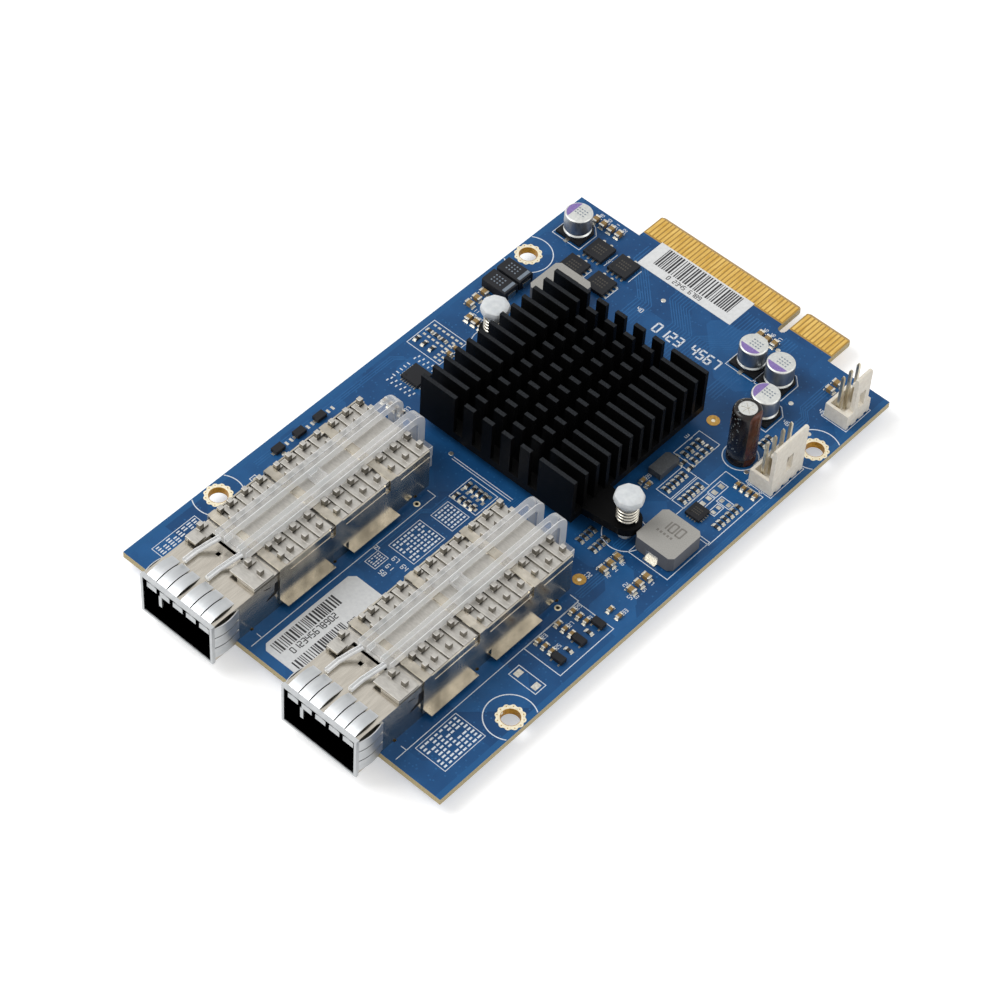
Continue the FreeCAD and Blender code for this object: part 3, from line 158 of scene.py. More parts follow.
def solder_mask():
    """Screened blue epoxy ink over woven glass laminate: soft gloss, copper pours showing as darker and
    paler patches some 13 mm across, dots where tented vias sit about 2 mm apart, and the yarns of the
    cloth, 0.5 mm wide.  The tongue and the sawn rim show the tan laminate."""
    material, tree, place = begin("blue_solder_mask_over_laminate")
    x, y = add(tree, "ShaderNodeSeparateXYZ", links={"Vector": place})[:2]
    cells = add(tree, "ShaderNodeTexVoronoi", {"voronoi_dimensions": "2D", "distance": "CHEBYCHEV",
                                               "Scale": 1 / (13 * MM), "Randomness": 0.85}, {"Vector": place})
    pours = add(tree, "ShaderNodeSeparateColor", links={"Color": cells["Color"]})[0]
    cloud = add(tree, "ShaderNodeTexNoise", {"Scale": 1 / (5 * MM), "Detail": 4.0}, {"Vector": place})[0]
    shade = add(tree, "ShaderNodeMix", {0: 0.45}, {2: cloud, 3: pours})[0]
    ink = add(tree, "ShaderNodeValToRGB", {"stops": ((0.2, "#10406f"), (0.5, "#174c7e"), (0.8, "#205a90"))},
              {"Fac": shade})[0]
    dots = add(tree, "ShaderNodeTexVoronoi", {"voronoi_dimensions": "2D", "Scale": 1 / (2.1 * MM)},
               {"Vector": place})["Distance"]
    via = add(tree, "ShaderNodeMath", {"operation": "LESS_THAN", 1: 0.09}, {0: dots})[0]
    ink = add(tree, "ShaderNodeMix", {"data_type": "RGBA", 7: tint("#235a8d")}, {0: via, 6: ink})[2]
    across = add(tree, "ShaderNodeMath", {"operation": "ABSOLUTE"}, {0: x})[0]
    rim = add(tree, "ShaderNodeMath", {"operation": "GREATER_THAN", 1: (RIGHT - 1.3) * MM}, {0: across})[0]
    ink = add(tree, "ShaderNodeMix", {"data_type": "RGBA", 7: tint("#1d5689")}, {0: rim, 6: ink})[2]
    layers = add(tree, "ShaderNodeTexWave", {"bands_direction": "Z", "Scale": 1 / (0.9 * MM), "Distortion": 0.6,
                                             "Detail": 2.0}, {"Vector": place})["Fac"]
    sawn = add(tree, "ShaderNodeValToRGB", {"stops": ((0.0, "#94804f"), (0.6, "#bba877"), (1.0, "#cdbf94"))},
               {"Fac": layers})[0]
    normal = add(tree, "ShaderNodeTexCoord")["Normal"]
    rise = add(tree, "ShaderNodeSeparateXYZ", links={"Vector": normal})["Z"]
    flat = add(tree, "ShaderNodeMath", {"operation": "ABSOLUTE"}, {0: rise})[0]
    edge = add(tree, "ShaderNodeMath", {"operation": "LESS_THAN", 1: 0.7}, {0: flat})[0]
    tongue = add(tree, "ShaderNodeMath", {"operation": "GREATER_THAN", 1: (contacts_front - 0.4) * MM},
                 {0: y})[0]
    ink = add(tree, "ShaderNodeMix", {"data_type": "RGBA", 7: tint("#ad8a47")}, {0: tongue, 6: ink})[2]
    colour = add(tree, "ShaderNodeMix", {"data_type": "RGBA"}, {0: edge, 6: ink, 7: sawn})[2]
    weave = add(tree, "ShaderNodeTexNoise", {"Scale": 1 / (0.5 * MM), "Detail": 2.0}, {"Vector": place})[0]
    rough = add(tree, "ShaderNodeMapRange", {"From Min": 0.3, "From Max": 0.7, "To Min": 0.3, "To Max": 0.42},
                {"Value": weave})[0]
    relief = add(tree, "ShaderNodeBump", {"Distance": 0.01 * MM}, {"Height": weave})[0]
    surface = add(tree, "ShaderNodeBsdfPrincipled", {"IOR": 1.5, "Specular IOR Level": 0.25},
                  {"Base Color": colour, "Roughness": rough, "Normal": relief})[0]
    add(tree, "ShaderNodeOutputMaterial", links={"Surface": surface})
    return material


def mask_over_copper():
    """The same ink where it covers a copper track: a step paler and slightly proud."""
    material, tree, place = begin("blue_solder_mask_over_copper")
    tone = add(tree, "ShaderNodeTexNoise", {"Scale": 1 / (2.5 * MM), "Detail": 3.0}, {"Vector": place})[0]
    colour = add(tree, "ShaderNodeValToRGB", {"stops": ((0.3, "#1d568a"), (0.7, "#296399"))}, {"Fac": tone})[0]
    surface = add(tree, "ShaderNodeBsdfPrincipled", {"IOR": 1.5, "Specular IOR Level": 0.25, "Roughness": 0.34},
                  {"Base Color": colour})[0]
    add(tree, "ShaderNodeOutputMaterial", links={"Surface": surface})
    return material


def screen_ink():
    """White screen-printed epoxy ink: chalky, mottled at about the mesh of the screen."""
    material, tree, place = begin("white_screen_ink")
    tone = add(tree, "ShaderNodeTexNoise", {"Scale": 1 / (0.25 * MM), "Detail": 4.0}, {"Vector": place})[0]
    colour = add(tree, "ShaderNodeValToRGB", {"stops": ((0.25, "#a9b6c8"), (0.45, "#dbe1e8"), (0.8, "#eef1f4"))},
                 {"Fac": tone})[0]
    surface = add(tree, "ShaderNodeBsdfPrincipled", {"Roughness": 0.6}, {"Base Color": colour})[0]
    add(tree, "ShaderNodeOutputMaterial", links={"Surface": surface})
    return material


def with_side_tone(tree, colour, code):
    """Paints upright faces in a tone of their own, used as painted shade of the sides."""
    normal = add(tree, "ShaderNodeTexCoord")["Normal"]
    rise = add(tree, "ShaderNodeSeparateXYZ", links={"Vector": normal})["Z"]
    upright = add(tree, "ShaderNodeMath", {"operation": "LESS_THAN", 1: 0.4}, {0: rise})[0]
    return add(tree, "ShaderNodeMix", {"data_type": "RGBA", 7: tint(code)}, {0: upright, 6: colour})[2]


def plated(name, dark, light, rough, grain_mm, stretch=(1, 1, 1), depth_mm=0.002, side=None):
    """Bare or plated metal: a fine grain drawn out along the way it was rolled, milled or drawn.
    The real grain is finer than 0.05 mm and is made coarser so that it shows.
    Upright faces may be painted a darker tone, as painted shade of the sides."""
    material, tree, place = begin(name)
    drawn = add(tree, "ShaderNodeMapping", {"Scale": stretch}, {"Vector": place})[0]
    tone = add(tree, "ShaderNodeTexNoise", {"Scale": 1 / (grain_mm * MM), "Detail": 3.0}, {"Vector": drawn})[0]
    colour = add(tree, "ShaderNodeValToRGB", {"stops": ((0.3, dark), (0.7, light))}, {"Fac": tone})[0]
    if side:
        colour = with_side_tone(tree, colour, side)
    gloss = add(tree, "ShaderNodeMapRange", {"From Min": 0.3, "From Max": 0.7, "To Min": rough,
                                             "To Max": rough + 0.08}, {"Value": tone})[0]
    relief = add(tree, "ShaderNodeBump", {"Strength": 0.5, "Distance": depth_mm * MM}, {"Height": tone})[0]
    surface = add(tree, "ShaderNodeBsdfPrincipled", {"Metallic": 1.0},
                  {"Base Color": colour, "Roughness": gloss, "Normal": relief})[0]
    add(tree, "ShaderNodeOutputMaterial", links={"Surface": surface})
    return material


def cage_sheet():
    """Nickel-plated folded sheet: warm grey and half bright outside, with faint rolling lines.
    Faces that look into the cage are painted near black, as painted shade of the unlit inside of the folded box."""
    material, tree, place = begin("nickel_plated_folded_sheet")
    drawn = add(tree, "ShaderNodeMapping", {"Scale": (1, 0.1, 1)}, {"Vector": place})[0]
    tone = add(tree, "ShaderNodeTexNoise", {"Scale": 1 / (0.5 * MM), "Detail": 3.0}, {"Vector": drawn})[0]
    plate = add(tree, "ShaderNodeValToRGB", {"stops": ((0.3, "#b9b3a8"), (0.7, "#c7c1b6"))}, {"Fac": tone})[0]
    own = add(tree, "ShaderNodeTexCoord")
    middle = add(tree, "ShaderNodeVectorMath", {"operation": "SUBTRACT", 1: (0.5, 0.5, 0.5)},
                 {0: own["Generated"]})[0]
    outward = add(tree, "ShaderNodeVectorMath", {"operation": "DOT_PRODUCT"},
                  {0: middle, 1: own["Normal"]})["Value"]
    # Painted shade: faces that look into the cage are painted near black.
    inner = add(tree, "ShaderNodeMath", {"operation": "LESS_THAN", 1: -0.08}, {0: outward})[0]
    colour = add(tree, "ShaderNodeMix", {"data_type": "RGBA", 7: tint("#0c0c0d")}, {0: inner, 6: plate})[2]
    gloss = add(tree, "ShaderNodeMapRange", {"From Min": 0.3, "From Max": 0.7, "To Min": 0.2, "To Max": 0.27},
                {"Value": tone})[0]
    surface = add(tree, "ShaderNodeBsdfPrincipled", {"Metallic": 1.0},
                  {"Base Color": colour, "Roughness": gloss})[0]
    add(tree, "ShaderNodeOutputMaterial", links={"Surface": surface})
    return material


def moulded(name, dark, light, rough, grain_mm, depth_mm=0.01, scatter=0.0, shine=0.5, side=None):
    """Moulded plastic, resin or ceramic with the fine texture of its tool, made coarser so that it shows."""
    material, tree, place = begin(name)
    tone = add(tree, "ShaderNodeTexNoise", {"Scale": 1 / (grain_mm * MM), "Detail": 3.0}, {"Vector": place})[0]
    colour = add(tree, "ShaderNodeValToRGB", {"stops": ((0.3, dark), (0.7, light))}, {"Fac": tone})[0]
    # Upright faces may be painted a darker tone, as painted shade of the sides.
    if side:
        colour = with_side_tone(tree, colour, side)
    gloss = add(tree, "ShaderNodeMapRange", {"From Min": 0.3, "From Max": 0.7, "To Min": rough,
                                             "To Max": rough + 0.12}, {"Value": tone})[0]
    relief = add(tree, "ShaderNodeBump", {"Distance": depth_mm * MM}, {"Height": tone})[0]
    surface = add(tree, "ShaderNodeBsdfPrincipled",
                  {"IOR": 1.5, "Specular IOR Level": shine, "Subsurface Weight": scatter,
                   "Subsurface Radius": (1.0, 0.9, 0.8), "Subsurface Scale": 0.6 * MM},
                  {"Base Color": colour, "Roughness": gloss, "Normal": relief})[0]
    add(tree, "ShaderNodeOutputMaterial", links={"Surface": surface})
    return material


def black_anodised():
    """Extruded aluminium, black anodised: deep black walls with a faint draw grain along the fins.
    The upward faces at the fin crests are painted a speckled grey, a painted highlight of the lit tops."""
    material, tree, place = begin("black_anodised_extrusion")
    drawn = add(tree, "ShaderNodeMapping", {"Scale": (0.12, 1, 1)}, {"Vector": place})[0]
    tone = add(tree, "ShaderNodeTexNoise", {"Scale": 1 / (0.35 * MM), "Detail": 4.0}, {"Vector": drawn})[0]
    walls = add(tree, "ShaderNodeValToRGB", {"stops": ((0.3, "#020202"), (0.7, "#060607"))}, {"Fac": tone})[0]
    speckle = add(tree, "ShaderNodeTexNoise", {"Scale": 1 / (0.3 * MM), "Detail": 2.0}, {"Vector": place})[0]
    tops = add(tree, "ShaderNodeValToRGB", {"stops": ((0.35, "#15171a"), (0.65, "#24272b"))}, {"Fac": speckle})[0]
    normal = add(tree, "ShaderNodeTexCoord")["Normal"]
    rise = add(tree, "ShaderNodeSeparateXYZ", links={"Vector": normal})["Z"]
    up = add(tree, "ShaderNodeMath", {"operation": "GREATER_THAN", 1: 0.6}, {0: rise})[0]
    height = add(tree, "ShaderNodeSeparateXYZ", links={"Vector": place})["Z"]
    tip = (span("main_heat_sink")[1].z - 0.4) * MM
    high = add(tree, "ShaderNodeMath", {"operation": "GREATER_THAN", 1: tip}, {0: height})[0]
    # Painted highlight: upward faces near the top of the fins take the paler grey.
    painted_highlight_crest = add(tree, "ShaderNodeMath", {"operation": "MULTIPLY"}, {0: up, 1: high})[0]
    colour = add(tree, "ShaderNodeMix", {"data_type": "RGBA"}, {0: painted_highlight_crest, 6: walls, 7: tops})[2]
    relief = add(tree, "ShaderNodeBump", {"Distance": 0.008 * MM}, {"Height": tone})[0]
    surface = add(tree, "ShaderNodeBsdfPrincipled",
                  {"Metallic": 0.1, "Roughness": 0.5, "Specular IOR Level": 0.12},
                  {"Base Color": colour, "Normal": relief})[0]
    add(tree, "ShaderNodeOutputMaterial", links={"Surface": surface})
    return material


def polycarbonate():
    """Clear moulded polycarbonate: see-through on its flats with a slight flow haze.
    Its side walls, bevels and grazing edges are made opaque milky white by their facing, a painted highlight for
    the light they gather."""
    material, tree, place = begin("clear_moulded_polycarbonate")
    flow = add(tree, "ShaderNodeMapping", {"Scale": (1, 0.2, 1)}, {"Vector": place})[0]
    haze = add(tree, "ShaderNodeTexNoise", {"Scale": 1 / (4 * MM), "Detail": 1.0}, {"Vector": flow})[0]
    colour = add(tree, "ShaderNodeValToRGB", {"stops": ((0.3, "#eff1f2"), (0.7, "#fbfbfb"))}, {"Fac": haze})[0]
    gloss = add(tree, "ShaderNodeMapRange", {"From Min": 0.3, "From Max": 0.7, "To Min": 0.06, "To Max": 0.12},
                {"Value": haze})[0]
    normal = add(tree, "ShaderNodeTexCoord")["Normal"]
    across = add(tree, "ShaderNodeSeparateXYZ", links={"Vector": normal})["X"]
    upright = add(tree, "ShaderNodeMath", {"operation": "ABSOLUTE"}, {0: across})[0]
    # Painted highlight: side walls and bevels are made opaque white by the way they face.
    wall = add(tree, "ShaderNodeValToRGB", {"stops": ((0.2, "#686868"), (0.5, "#fafafa"), (0.85, "#fafafa"),
                                                      (0.97, "#cccccc"))}, {"Fac": upright})[0]
    facing = add(tree, "ShaderNodeLayerWeight", {"Blend": 0.5})["Facing"]
    painted_grazing_gleam = add(tree, "ShaderNodeMapRange", {"From Min": 0.3, "From Max": 0.8, "To Min": 0.0, "To Max": 0.8},
                  {"Value": facing})[0]
    body = add(tree, "ShaderNodeMath", {"operation": "MAXIMUM"}, {0: wall, 1: painted_grazing_gleam})[0]
    surface = add(tree, "ShaderNodeBsdfPrincipled", {"IOR": 1.49, "Specular IOR Level": 0.8},
                  {"Base Color": colour, "Roughness": gloss, "Alpha": body})[0]
    add(tree, "ShaderNodeOutputMaterial", links={"Surface": surface})
    return material


def shrunk_sleeve():
    """Dark brown shrunk film over the tall capacitor: glossy, lightly wrinkled, with small grey stamped marks. The
    film beyond 2.3 mm towards +X is painted redder, a painted highlight."""
    material, tree, place = begin("brown_shrunk_film")
    axis = middle_of(*span("radial_capacitor_can"))[0]
    x = add(tree, "ShaderNodeSeparateXYZ", links={"Vector": place})["X"]
    # Painted highlight: the film beyond 2.3 mm towards +X is painted redder.
    painted_highlight_side = add(tree, "ShaderNodeMath", {"operation": "GREATER_THAN", 1: (axis + 2.3) * MM}, {0: x})[0]
    pulled = add(tree, "ShaderNodeMapping", {"Scale": (1, 1, 0.45)}, {"Vector": place})[0]
    tone = add(tree, "ShaderNodeTexNoise", {"Scale": 1 / (1.3 * MM), "Detail": 4.0}, {"Vector": pulled})[0]
    film = add(tree, "ShaderNodeValToRGB", {"stops": ((0.35, "#0b0807"), (0.65, "#1a110d"))}, {"Fac": tone})[0]
    highlight_red = add(tree, "ShaderNodeValToRGB", {"stops": ((0.3, "#3a1c12"), (0.7, "#5e3222"))}, {"Fac": tone})[0]
    colour = add(tree, "ShaderNodeMix", {"data_type": "RGBA"}, {0: painted_highlight_side, 6: film, 7: highlight_red})[2]
    cells = add(tree, "ShaderNodeTexVoronoi", {"distance": "CHEBYCHEV", "Scale": 1 / (0.9 * MM)},
                {"Vector": place})
    stamped = add(tree, "ShaderNodeMath", {"operation": "LESS_THAN", 1: 0.2}, {0: cells["Distance"]})[0]
    left = add(tree, "ShaderNodeMath", {"operation": "LESS_THAN", 1: (axis + 0.6) * MM}, {0: x})[0]
    print_mask = add(tree, "ShaderNodeMath", {"operation": "MULTIPLY"}, {0: stamped, 1: left})[0]
    colour = add(tree, "ShaderNodeMix", {"data_type": "RGBA", 7: tint("#6f7677")}, {0: print_mask, 6: colour})[2]
    relief = add(tree, "ShaderNodeBump", {"Strength": 0.7, "Distance": 0.09 * MM}, {"Height": tone})[0]
    surface = add(tree, "ShaderNodeBsdfPrincipled",
                  {"Roughness": 0.26, "Specular IOR Level": 0.3, "Coat Weight": 0.12, "Coat Roughness": 0.15},
                  {"Base Color": colour, "Normal": relief})[0]
    add(tree, "ShaderNodeOutputMaterial", links={"Surface": surface})
    return material


def paper(name, low, high, rough):
    """Coated label stock: nearly smooth, with a faint fibre mottling."""
    material, tree, place = begin(name)
    tone = add(tree, "ShaderNodeTexNoise", {"Scale": 1 / (0.8 * MM), "Detail": 5.0}, {"Vector": place})[0]
    colour = add(tree, "ShaderNodeValToRGB", {"stops": ((0.3, low), (0.7, high))}, {"Fac": tone})[0]
    surface = add(tree, "ShaderNodeBsdfPrincipled", {"Roughness": rough, "Specular IOR Level": 0.3},
                  {"Base Color": colour})[0]
    add(tree, "ShaderNodeOutputMaterial", links={"Surface": surface})
    return material


finish = {
    "board_laminate": solder_mask(),
    "track": mask_over_copper(),
    "screen_ink": screen_ink(),
    # Hard gold on the edge contacts: warm satin yellow, drawn along each finger.
    "contact_gold": plated("hard_gold_plate", "#d3a64f", "#ecc774", 0.26, 0.6, (1, 0.15, 1)),
    # Hot-levelled tin on the mounting rings: pale cream with a lumpy sheen.
    "tinned_ring": plated("levelled_tin_over_gold", "#ded3b4", "#efe8d3", 0.42, 0.5, depth_mm=0.02),
    # Thin gold of the test rings: duller and browner than the contacts.
    "test_ring_gold": plated("immersion_gold", "#a07c3f", "#c19a56", 0.4, 0.4),
    # Plated wall of a drilled hole: deep golden brown, as light reaches it from above only.
    "hole_wall": plated("plated_hole_wall", "#8f6420", "#bd8d36", 0.35, 0.4),
    # Cast lamp bodies: milky, with light bleeding a little way in.
    "led_resin": moulded("milky_lamp_resin", "#dedccb", "#efeee3", 0.2, 0.5, scatter=0.4),
    # Carrier of the main chip: dark green laminate with a soft gloss.
    "chip_carrier": moulded("green_chip_laminate", "#123a22", "#1d4f30", 0.35, 0.8),
    # Cast silicone pad: matt mid grey.
    "thermal_pad": moulded("grey_silicone_pad", "#7d7f81", "#929496", 0.7, 0.3),
    "black_anodised": black_anodised(),
    # Moulded natural nylon of the push pins: cool white, faintly waxy and see-through at thin edges.
    "white_nylon": moulded("natural_nylon", "#cfd3d5", "#dfe2e3", 0.35, 1.2, scatter=0.3, shine=0.3),
    # Drawn steel wire: bright with a slightly warm cast.
    "spring_wire": plated("drawn_spring_steel", "#a5a196", "#cfcabd", 0.25, 0.2),
    # Pressed iron powder: sandy light grey top, and sides painted a darker bluish grey as painted shade.
    "inductor_ferrite": moulded("pressed_iron_powder", "#9a9893", "#adaba6", 0.55, 0.2, 0.02, shine=0.25,
                                side="#63656a"),
    # Tin-plated copper of leads, ends and bare lands: bright silver, softly mottled.
    "tinned_copper": plated("bright_tin_plate", "#b5b2a9", "#d8d5cc", 0.3, 0.5),
    # Drawn aluminium cans: satin lids, and walls with upright draw lines painted a darker grey as painted shade.
    "can_aluminium": plated("drawn_can_aluminium", "#c4c6c4", "#d8d9d4", 0.36, 0.5, (1, 1, 0.25),
                            side="#a3a7ab"),
    # Printed segment on the can lids: flat violet.
    "can_ink": moulded("violet_can_ink", "#7a63a3", "#8f7ab8", 0.5, 0.3),
    # Printed dashes and polarity bars: flat blue grey.
    "grey_ink": moulded("grey_printing_ink", "#6d7884", "#808b97", 0.6, 0.3),
    # Laser marks on the packages: a brownish grey only just paler than the resin.
    "laser_mark": moulded("laser_marked_resin", "#37342f", "#48443d", 0.7, 0.2),
    # Stamped marks on the inductors: a step darker than the pressed powder.
    "stamped_mark": moulded("stamped_mark_on_iron_powder", "#77746f", "#85817b", 0.6, 0.2),
    # Moulded seats and connector bodies: near black with a fine spark texture.
    "black_moulding": moulded("black_moulded_resin", "#060607", "#0e0e10", 0.45, 0.2, 0.02, shine=0.25),
    "brown_sleeve": shrunk_sleeve(),
    # Chip packages: charcoal, matt, with the fine grain of transfer moulding.
    "black_epoxy": moulded("black_epoxy_moulding", "#17181b", "#242529", 0.55, 0.15, 0.012, shine=0.25),
    # Header bodies: warm ivory, slightly waxy.
    "ivory_nylon": moulded("ivory_nylon", "#dfd8ca", "#ece6da", 0.42, 0.9, scatter=0.2, shine=0.3),
    # Header pins: tin over brass, a warm silver with upright draw lines.
    "pin_brass": plated("tinned_brass_pin", "#c3bba6", "#e2dac6", 0.3, 0.4, (1, 1, 0.2)),
    # Fresh solder: the brightest grey on the card, smooth.
    "solder": plated("bright_solder", "#bdbdbb", "#e2e2e0", 0.18, 0.6),
    # Glazed lid of the oscillator: smooth dark grey.
    "oscillator_lid": moulded("dark_grey_glazed_lid", "#44474a", "#515457", 0.35, 0.4),
    # Fired ceramic of the chip capacitors: tan brown, satin.
    "capacitor_ceramic": moulded("tan_ceramic", "#7d6238", "#a3854f", 0.42, 0.3),
    # Glass coat of the chip resistors: black with a soft shine.
    "resistor_ceramic": moulded("black_glass_coat", "#151517", "#232426", 0.3, 0.2),
    # Label stock by the ports: cool white, faintly mottled.
    "white_label": paper("white_label_paper", "#d2d4d6", "#dddfe0", 0.5),
    # Film label at the rear: a little whiter and smoother.
    "silver_label": paper("satin_label_film", "#dadbdb", "#e6e7e7", 0.42),
    # Thermal print on the labels: soft black.
    "label_ink": paper("black_label_ink", "#2b2b2e", "#3a3a3d", 0.55),
    "nickel_sheet": cage_sheet(),
    # Tinned spring sheet of the collars: bright and cool, nearly without grain.
    "bright_spring_sheet": plated("bright_tinned_spring_sheet", "#b6b9bb", "#c3c5c6", 0.4, 1.5, (1, 0.3, 1),
                                  0.0005),
    # Milled aluminium of the cage sinks: warm satin grey tops, with upright sides painted darker as painted shade.
    "plain_aluminium": plated("milled_aluminium", "#adaaa4", "#bfbcb6", 0.42, 0.3, (0.3, 1, 1),
                              side="#7b776f"),
    # Stainless sheet of the sink clips: mirror bright, slightly wavy, so it shows broad warm streaks.
    "clip_steel": plated("stainless_spring_sheet", "#a29c90", "#cfc8ba", 0.2, 4.0, (1, 1, 0.15), 0.05),
    "clear_polycarbonate": polycarbonate(),
}


# ---------------------------------------------------------------- mesh tools
def box(bm, x0, x1, y0, y1, z0, z1):
    """Closed block."""
    corners = [bm.verts.new((x, y, z)) for z in (z0, z1) for x, y in ((x0, y0), (x1, y0), (x1, y1), (x0, y1))]
    a, b, c, d, e, f, g, h = corners
    for face in ((d, c, b, a), (e, f, g, h), (a, b, f, e), (b, c, g, f), (c, d, h, g), (d, a, e, h)):
        bm.faces.new(face)


def pad(bm, x, y, half_x, half_y, z0, z1):
    """Flat block about its middle."""
    box(bm, x - half_x, x + half_x, y - half_y, y + half_y, z0, z1)


def laid(bm, along_y, start, end, near, far, z0, z1):
    """Block given along and across a part that may lie either way on the board."""
    if along_y:
        box(bm, near, far, start, end, z0, z1)
    else:
        box(bm, start, end, near, far, z0, z1)


def slab(bm, outline, z0, z1):
    """Closed plate from an outline."""
    low = [bm.verts.new((x, y, z0)) for x, y in outline]
    high = [bm.verts.new((x, y, z1)) for x, y in outline]
    bm.faces.new(low[::-1])
    bm.faces.new(high)
    for i in range(len(low)):
        j = (i + 1) % len(low)
        bm.faces.new((low[i], low[j], high[j], high[i]))


def skin(bm, rings, capped=True, closed=False):
    """Faces between rings of points in order."""
    made = [[bm.verts.new(p) for p in ring] for ring in rings]
    pairs = list(zip(made, made[1:]))
    if closed:
        pairs.append((made[-1], made[0]))
    for low, high in pairs:
        for i in range(len(low)):
            j = (i + 1) % len(low)
            bm.faces.new((low[i], low[j], high[j], high[i]))
    if capped and not closed:
        bm.faces.new(made[0][::-1])
        bm.faces.new(made[-1])


def lathe(bm, profile, cx, cy, count=40, capped=True):
    """Turned form from (radius, height) pairs."""
    rings = []
    for radius, z in profile:
        rings.append([(cx + radius * math.cos(2 * math.pi * i / count),
                       cy + radius * math.sin(2 * math.pi * i / count), z) for i in range(count)])
    skin(bm, rings, capped)


def tube(bm, path, radius, count=10):
    """Round bar along a path."""
    rings = []
    for i, point in enumerate(path):
        before = path[max(i - 1, 0)]
        after = path[min(i + 1, len(path) - 1)]
        along = (after - before).normalized()
        turn = along.to_track_quat("Z", "Y")
        rings.append([point + turn @ Vector((radius * math.cos(a), radius * math.sin(a), 0))
                      for a in (2 * math.pi * k / count for k in range(count))])
    skin(bm, rings)


def stroke(bm, points, width, z0, z1, closed=False):
    """Flat line of even width through points, mitred at its corners."""
    spots = [Vector(p) for p in points]
    count = len(spots)
    edges = []
    for i, here in enumerate(spots):
        before = spots[i - 1] if i or closed else None
        after = spots[(i + 1) % count] if i < count - 1 or closed else None
        into = (here - before).normalized() if before is not None else (after - here).normalized()
        out = (after - here).normalized() if after is not None else into
        mid = (into + out).normalized() if (into + out).length > 1e-6 else out
        side = Vector((-mid.y, mid.x))
        reach = width / 2 / max(side.dot(Vector((-out.y, out.x))), 0.35)
        edges.append((here + side * reach, here - side * reach))
    rings = [[(a.x, a.y, z1), (b.x, b.y, z1), (b.x, b.y, z0), (a.x, a.y, z0)] for a, b in edges]
    skin(bm, rings, not closed, closed)


def arc(cx, cy, radius, start, end, count=24):
    """Points of an arc, angles in degrees."""
    angles = [math.radians(start + (end - start) * i / count) for i in range(count + 1)]
    return [(cx + radius * math.cos(a), cy + radius * math.sin(a)) for a in angles]


def rectangle(bm, x0, y0, x1, y1, pen, z0, z1):
    """Printed rectangle between two corners."""
    stroke(bm, [(x0, y0), (x1, y0), (x1, y1), (x0, y1)], pen, z0, z1, closed=True)


def circle(bm, x, y, radius, pen, z0, z1):
    """Printed circle."""
    stroke(bm, arc(x, y, radius, 0, 352.5, 48), pen, z0, z1, closed=True)


def covered(x, y, boxes, margin_x, margin_y):
    """Whether a place lies on one of the boxes or within a margin of it."""
    return any(low.x - margin_x < x < high.x + margin_x and low.y - margin_y < y < high.y + margin_y
               for low, high in boxes)


def piece(name, bm, finish_name, stands_for=(), bevel_mm=0.0, smooth=False, segments=2):
    """Turns mesh work in millimetres into a finished piece that rides with the card."""
    bmesh.ops.recalc_face_normals(bm, faces=bm.faces)
    bmesh.ops.scale(bm, vec=(MM, MM, MM), verts=bm.verts)
    mesh = bpy.data.meshes.new(name)
    bm.to_mesh(mesh)
    bm.free()
    obj = bpy.data.objects.new(name, mesh)
    bpy.context.scene.collection.objects.link(obj)
    mesh.materials.append(finish[finish_name])
    if bevel_mm:
        soften(obj, bevel_mm, segments)
    if smooth:
        for polygon in mesh.polygons:
            polygon.use_smooth = True
        mesh.set_sharp_from_angle(angle=math.radians(35))
    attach(obj, "root")
    if stands_for:
        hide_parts(*stands_for)


def soften(obj, width_mm, segments=2, merge=False):
    """Rounds the sharp edges; a solid from the frame is first freed of its flat triangle lines."""
    if merge:
        flat = obj.modifiers.new("flat faces", "DECIMATE")
        flat.decimate_type = "DISSOLVE"
        flat.angle_limit = math.radians(1)
    edge = obj.modifiers.new("broken edges", "BEVEL")
    edge.width = width_mm * MM
    edge.segments = segments
    edge.limit_method = "ANGLE"
    edge.angle_limit = math.radians(40)
    edge.use_clamp_overlap = True
    edge.harden_normals = True


def carry_over(name, finish_name, bevel_mm):
    """Dresses a solid of the frame as it stands."""
    obj = nodes[name]
    obj.data.materials.clear()
    obj.data.materials.append(finish[finish_name])
    if bevel_mm:
        soften(obj, bevel_mm, merge=True)


# ---------------------------------------------------------------- printed marks
DIGITS = {"0": "abcdef", "1": "bc", "2": "abged", "3": "abgcd", "4": "fgbc", "5": "afgcd", "6": "afgedc",
          "7": "abc", "8": "abcdefg", "9": "gfabcd"}
BARS = {"a": ((0, 2), (1, 2)), "b": ((1, 2), (1, 1)), "c": ((1, 1), (1, 0)), "d": ((1, 0), (0, 0)),
        "e": ((0, 0), (0, 1)), "f": ((0, 1), (0, 2)), "g": ((0, 1), (1, 1))}


def plain_digits(bm, text, x, y, height, z0, z1, turn=0.0):
    """Plain counting digits drawn with straight strokes, reading along the turned X direction."""
    width, pen, advance = height * 0.5, height * 0.16, height * 0.78
    ca, sa = math.cos(math.radians(turn)), math.sin(math.radians(turn))
    for place, letter in enumerate(text):
        for bar in DIGITS.get(letter, ""):
            ends = []
            for u, v in BARS[bar]:
                px = place * advance + u * width
                py = v * height / 2
                ends.append((x + px * ca - py * sa, y + px * sa + py * ca))
            stroke(bm, ends, pen, z0, z1)


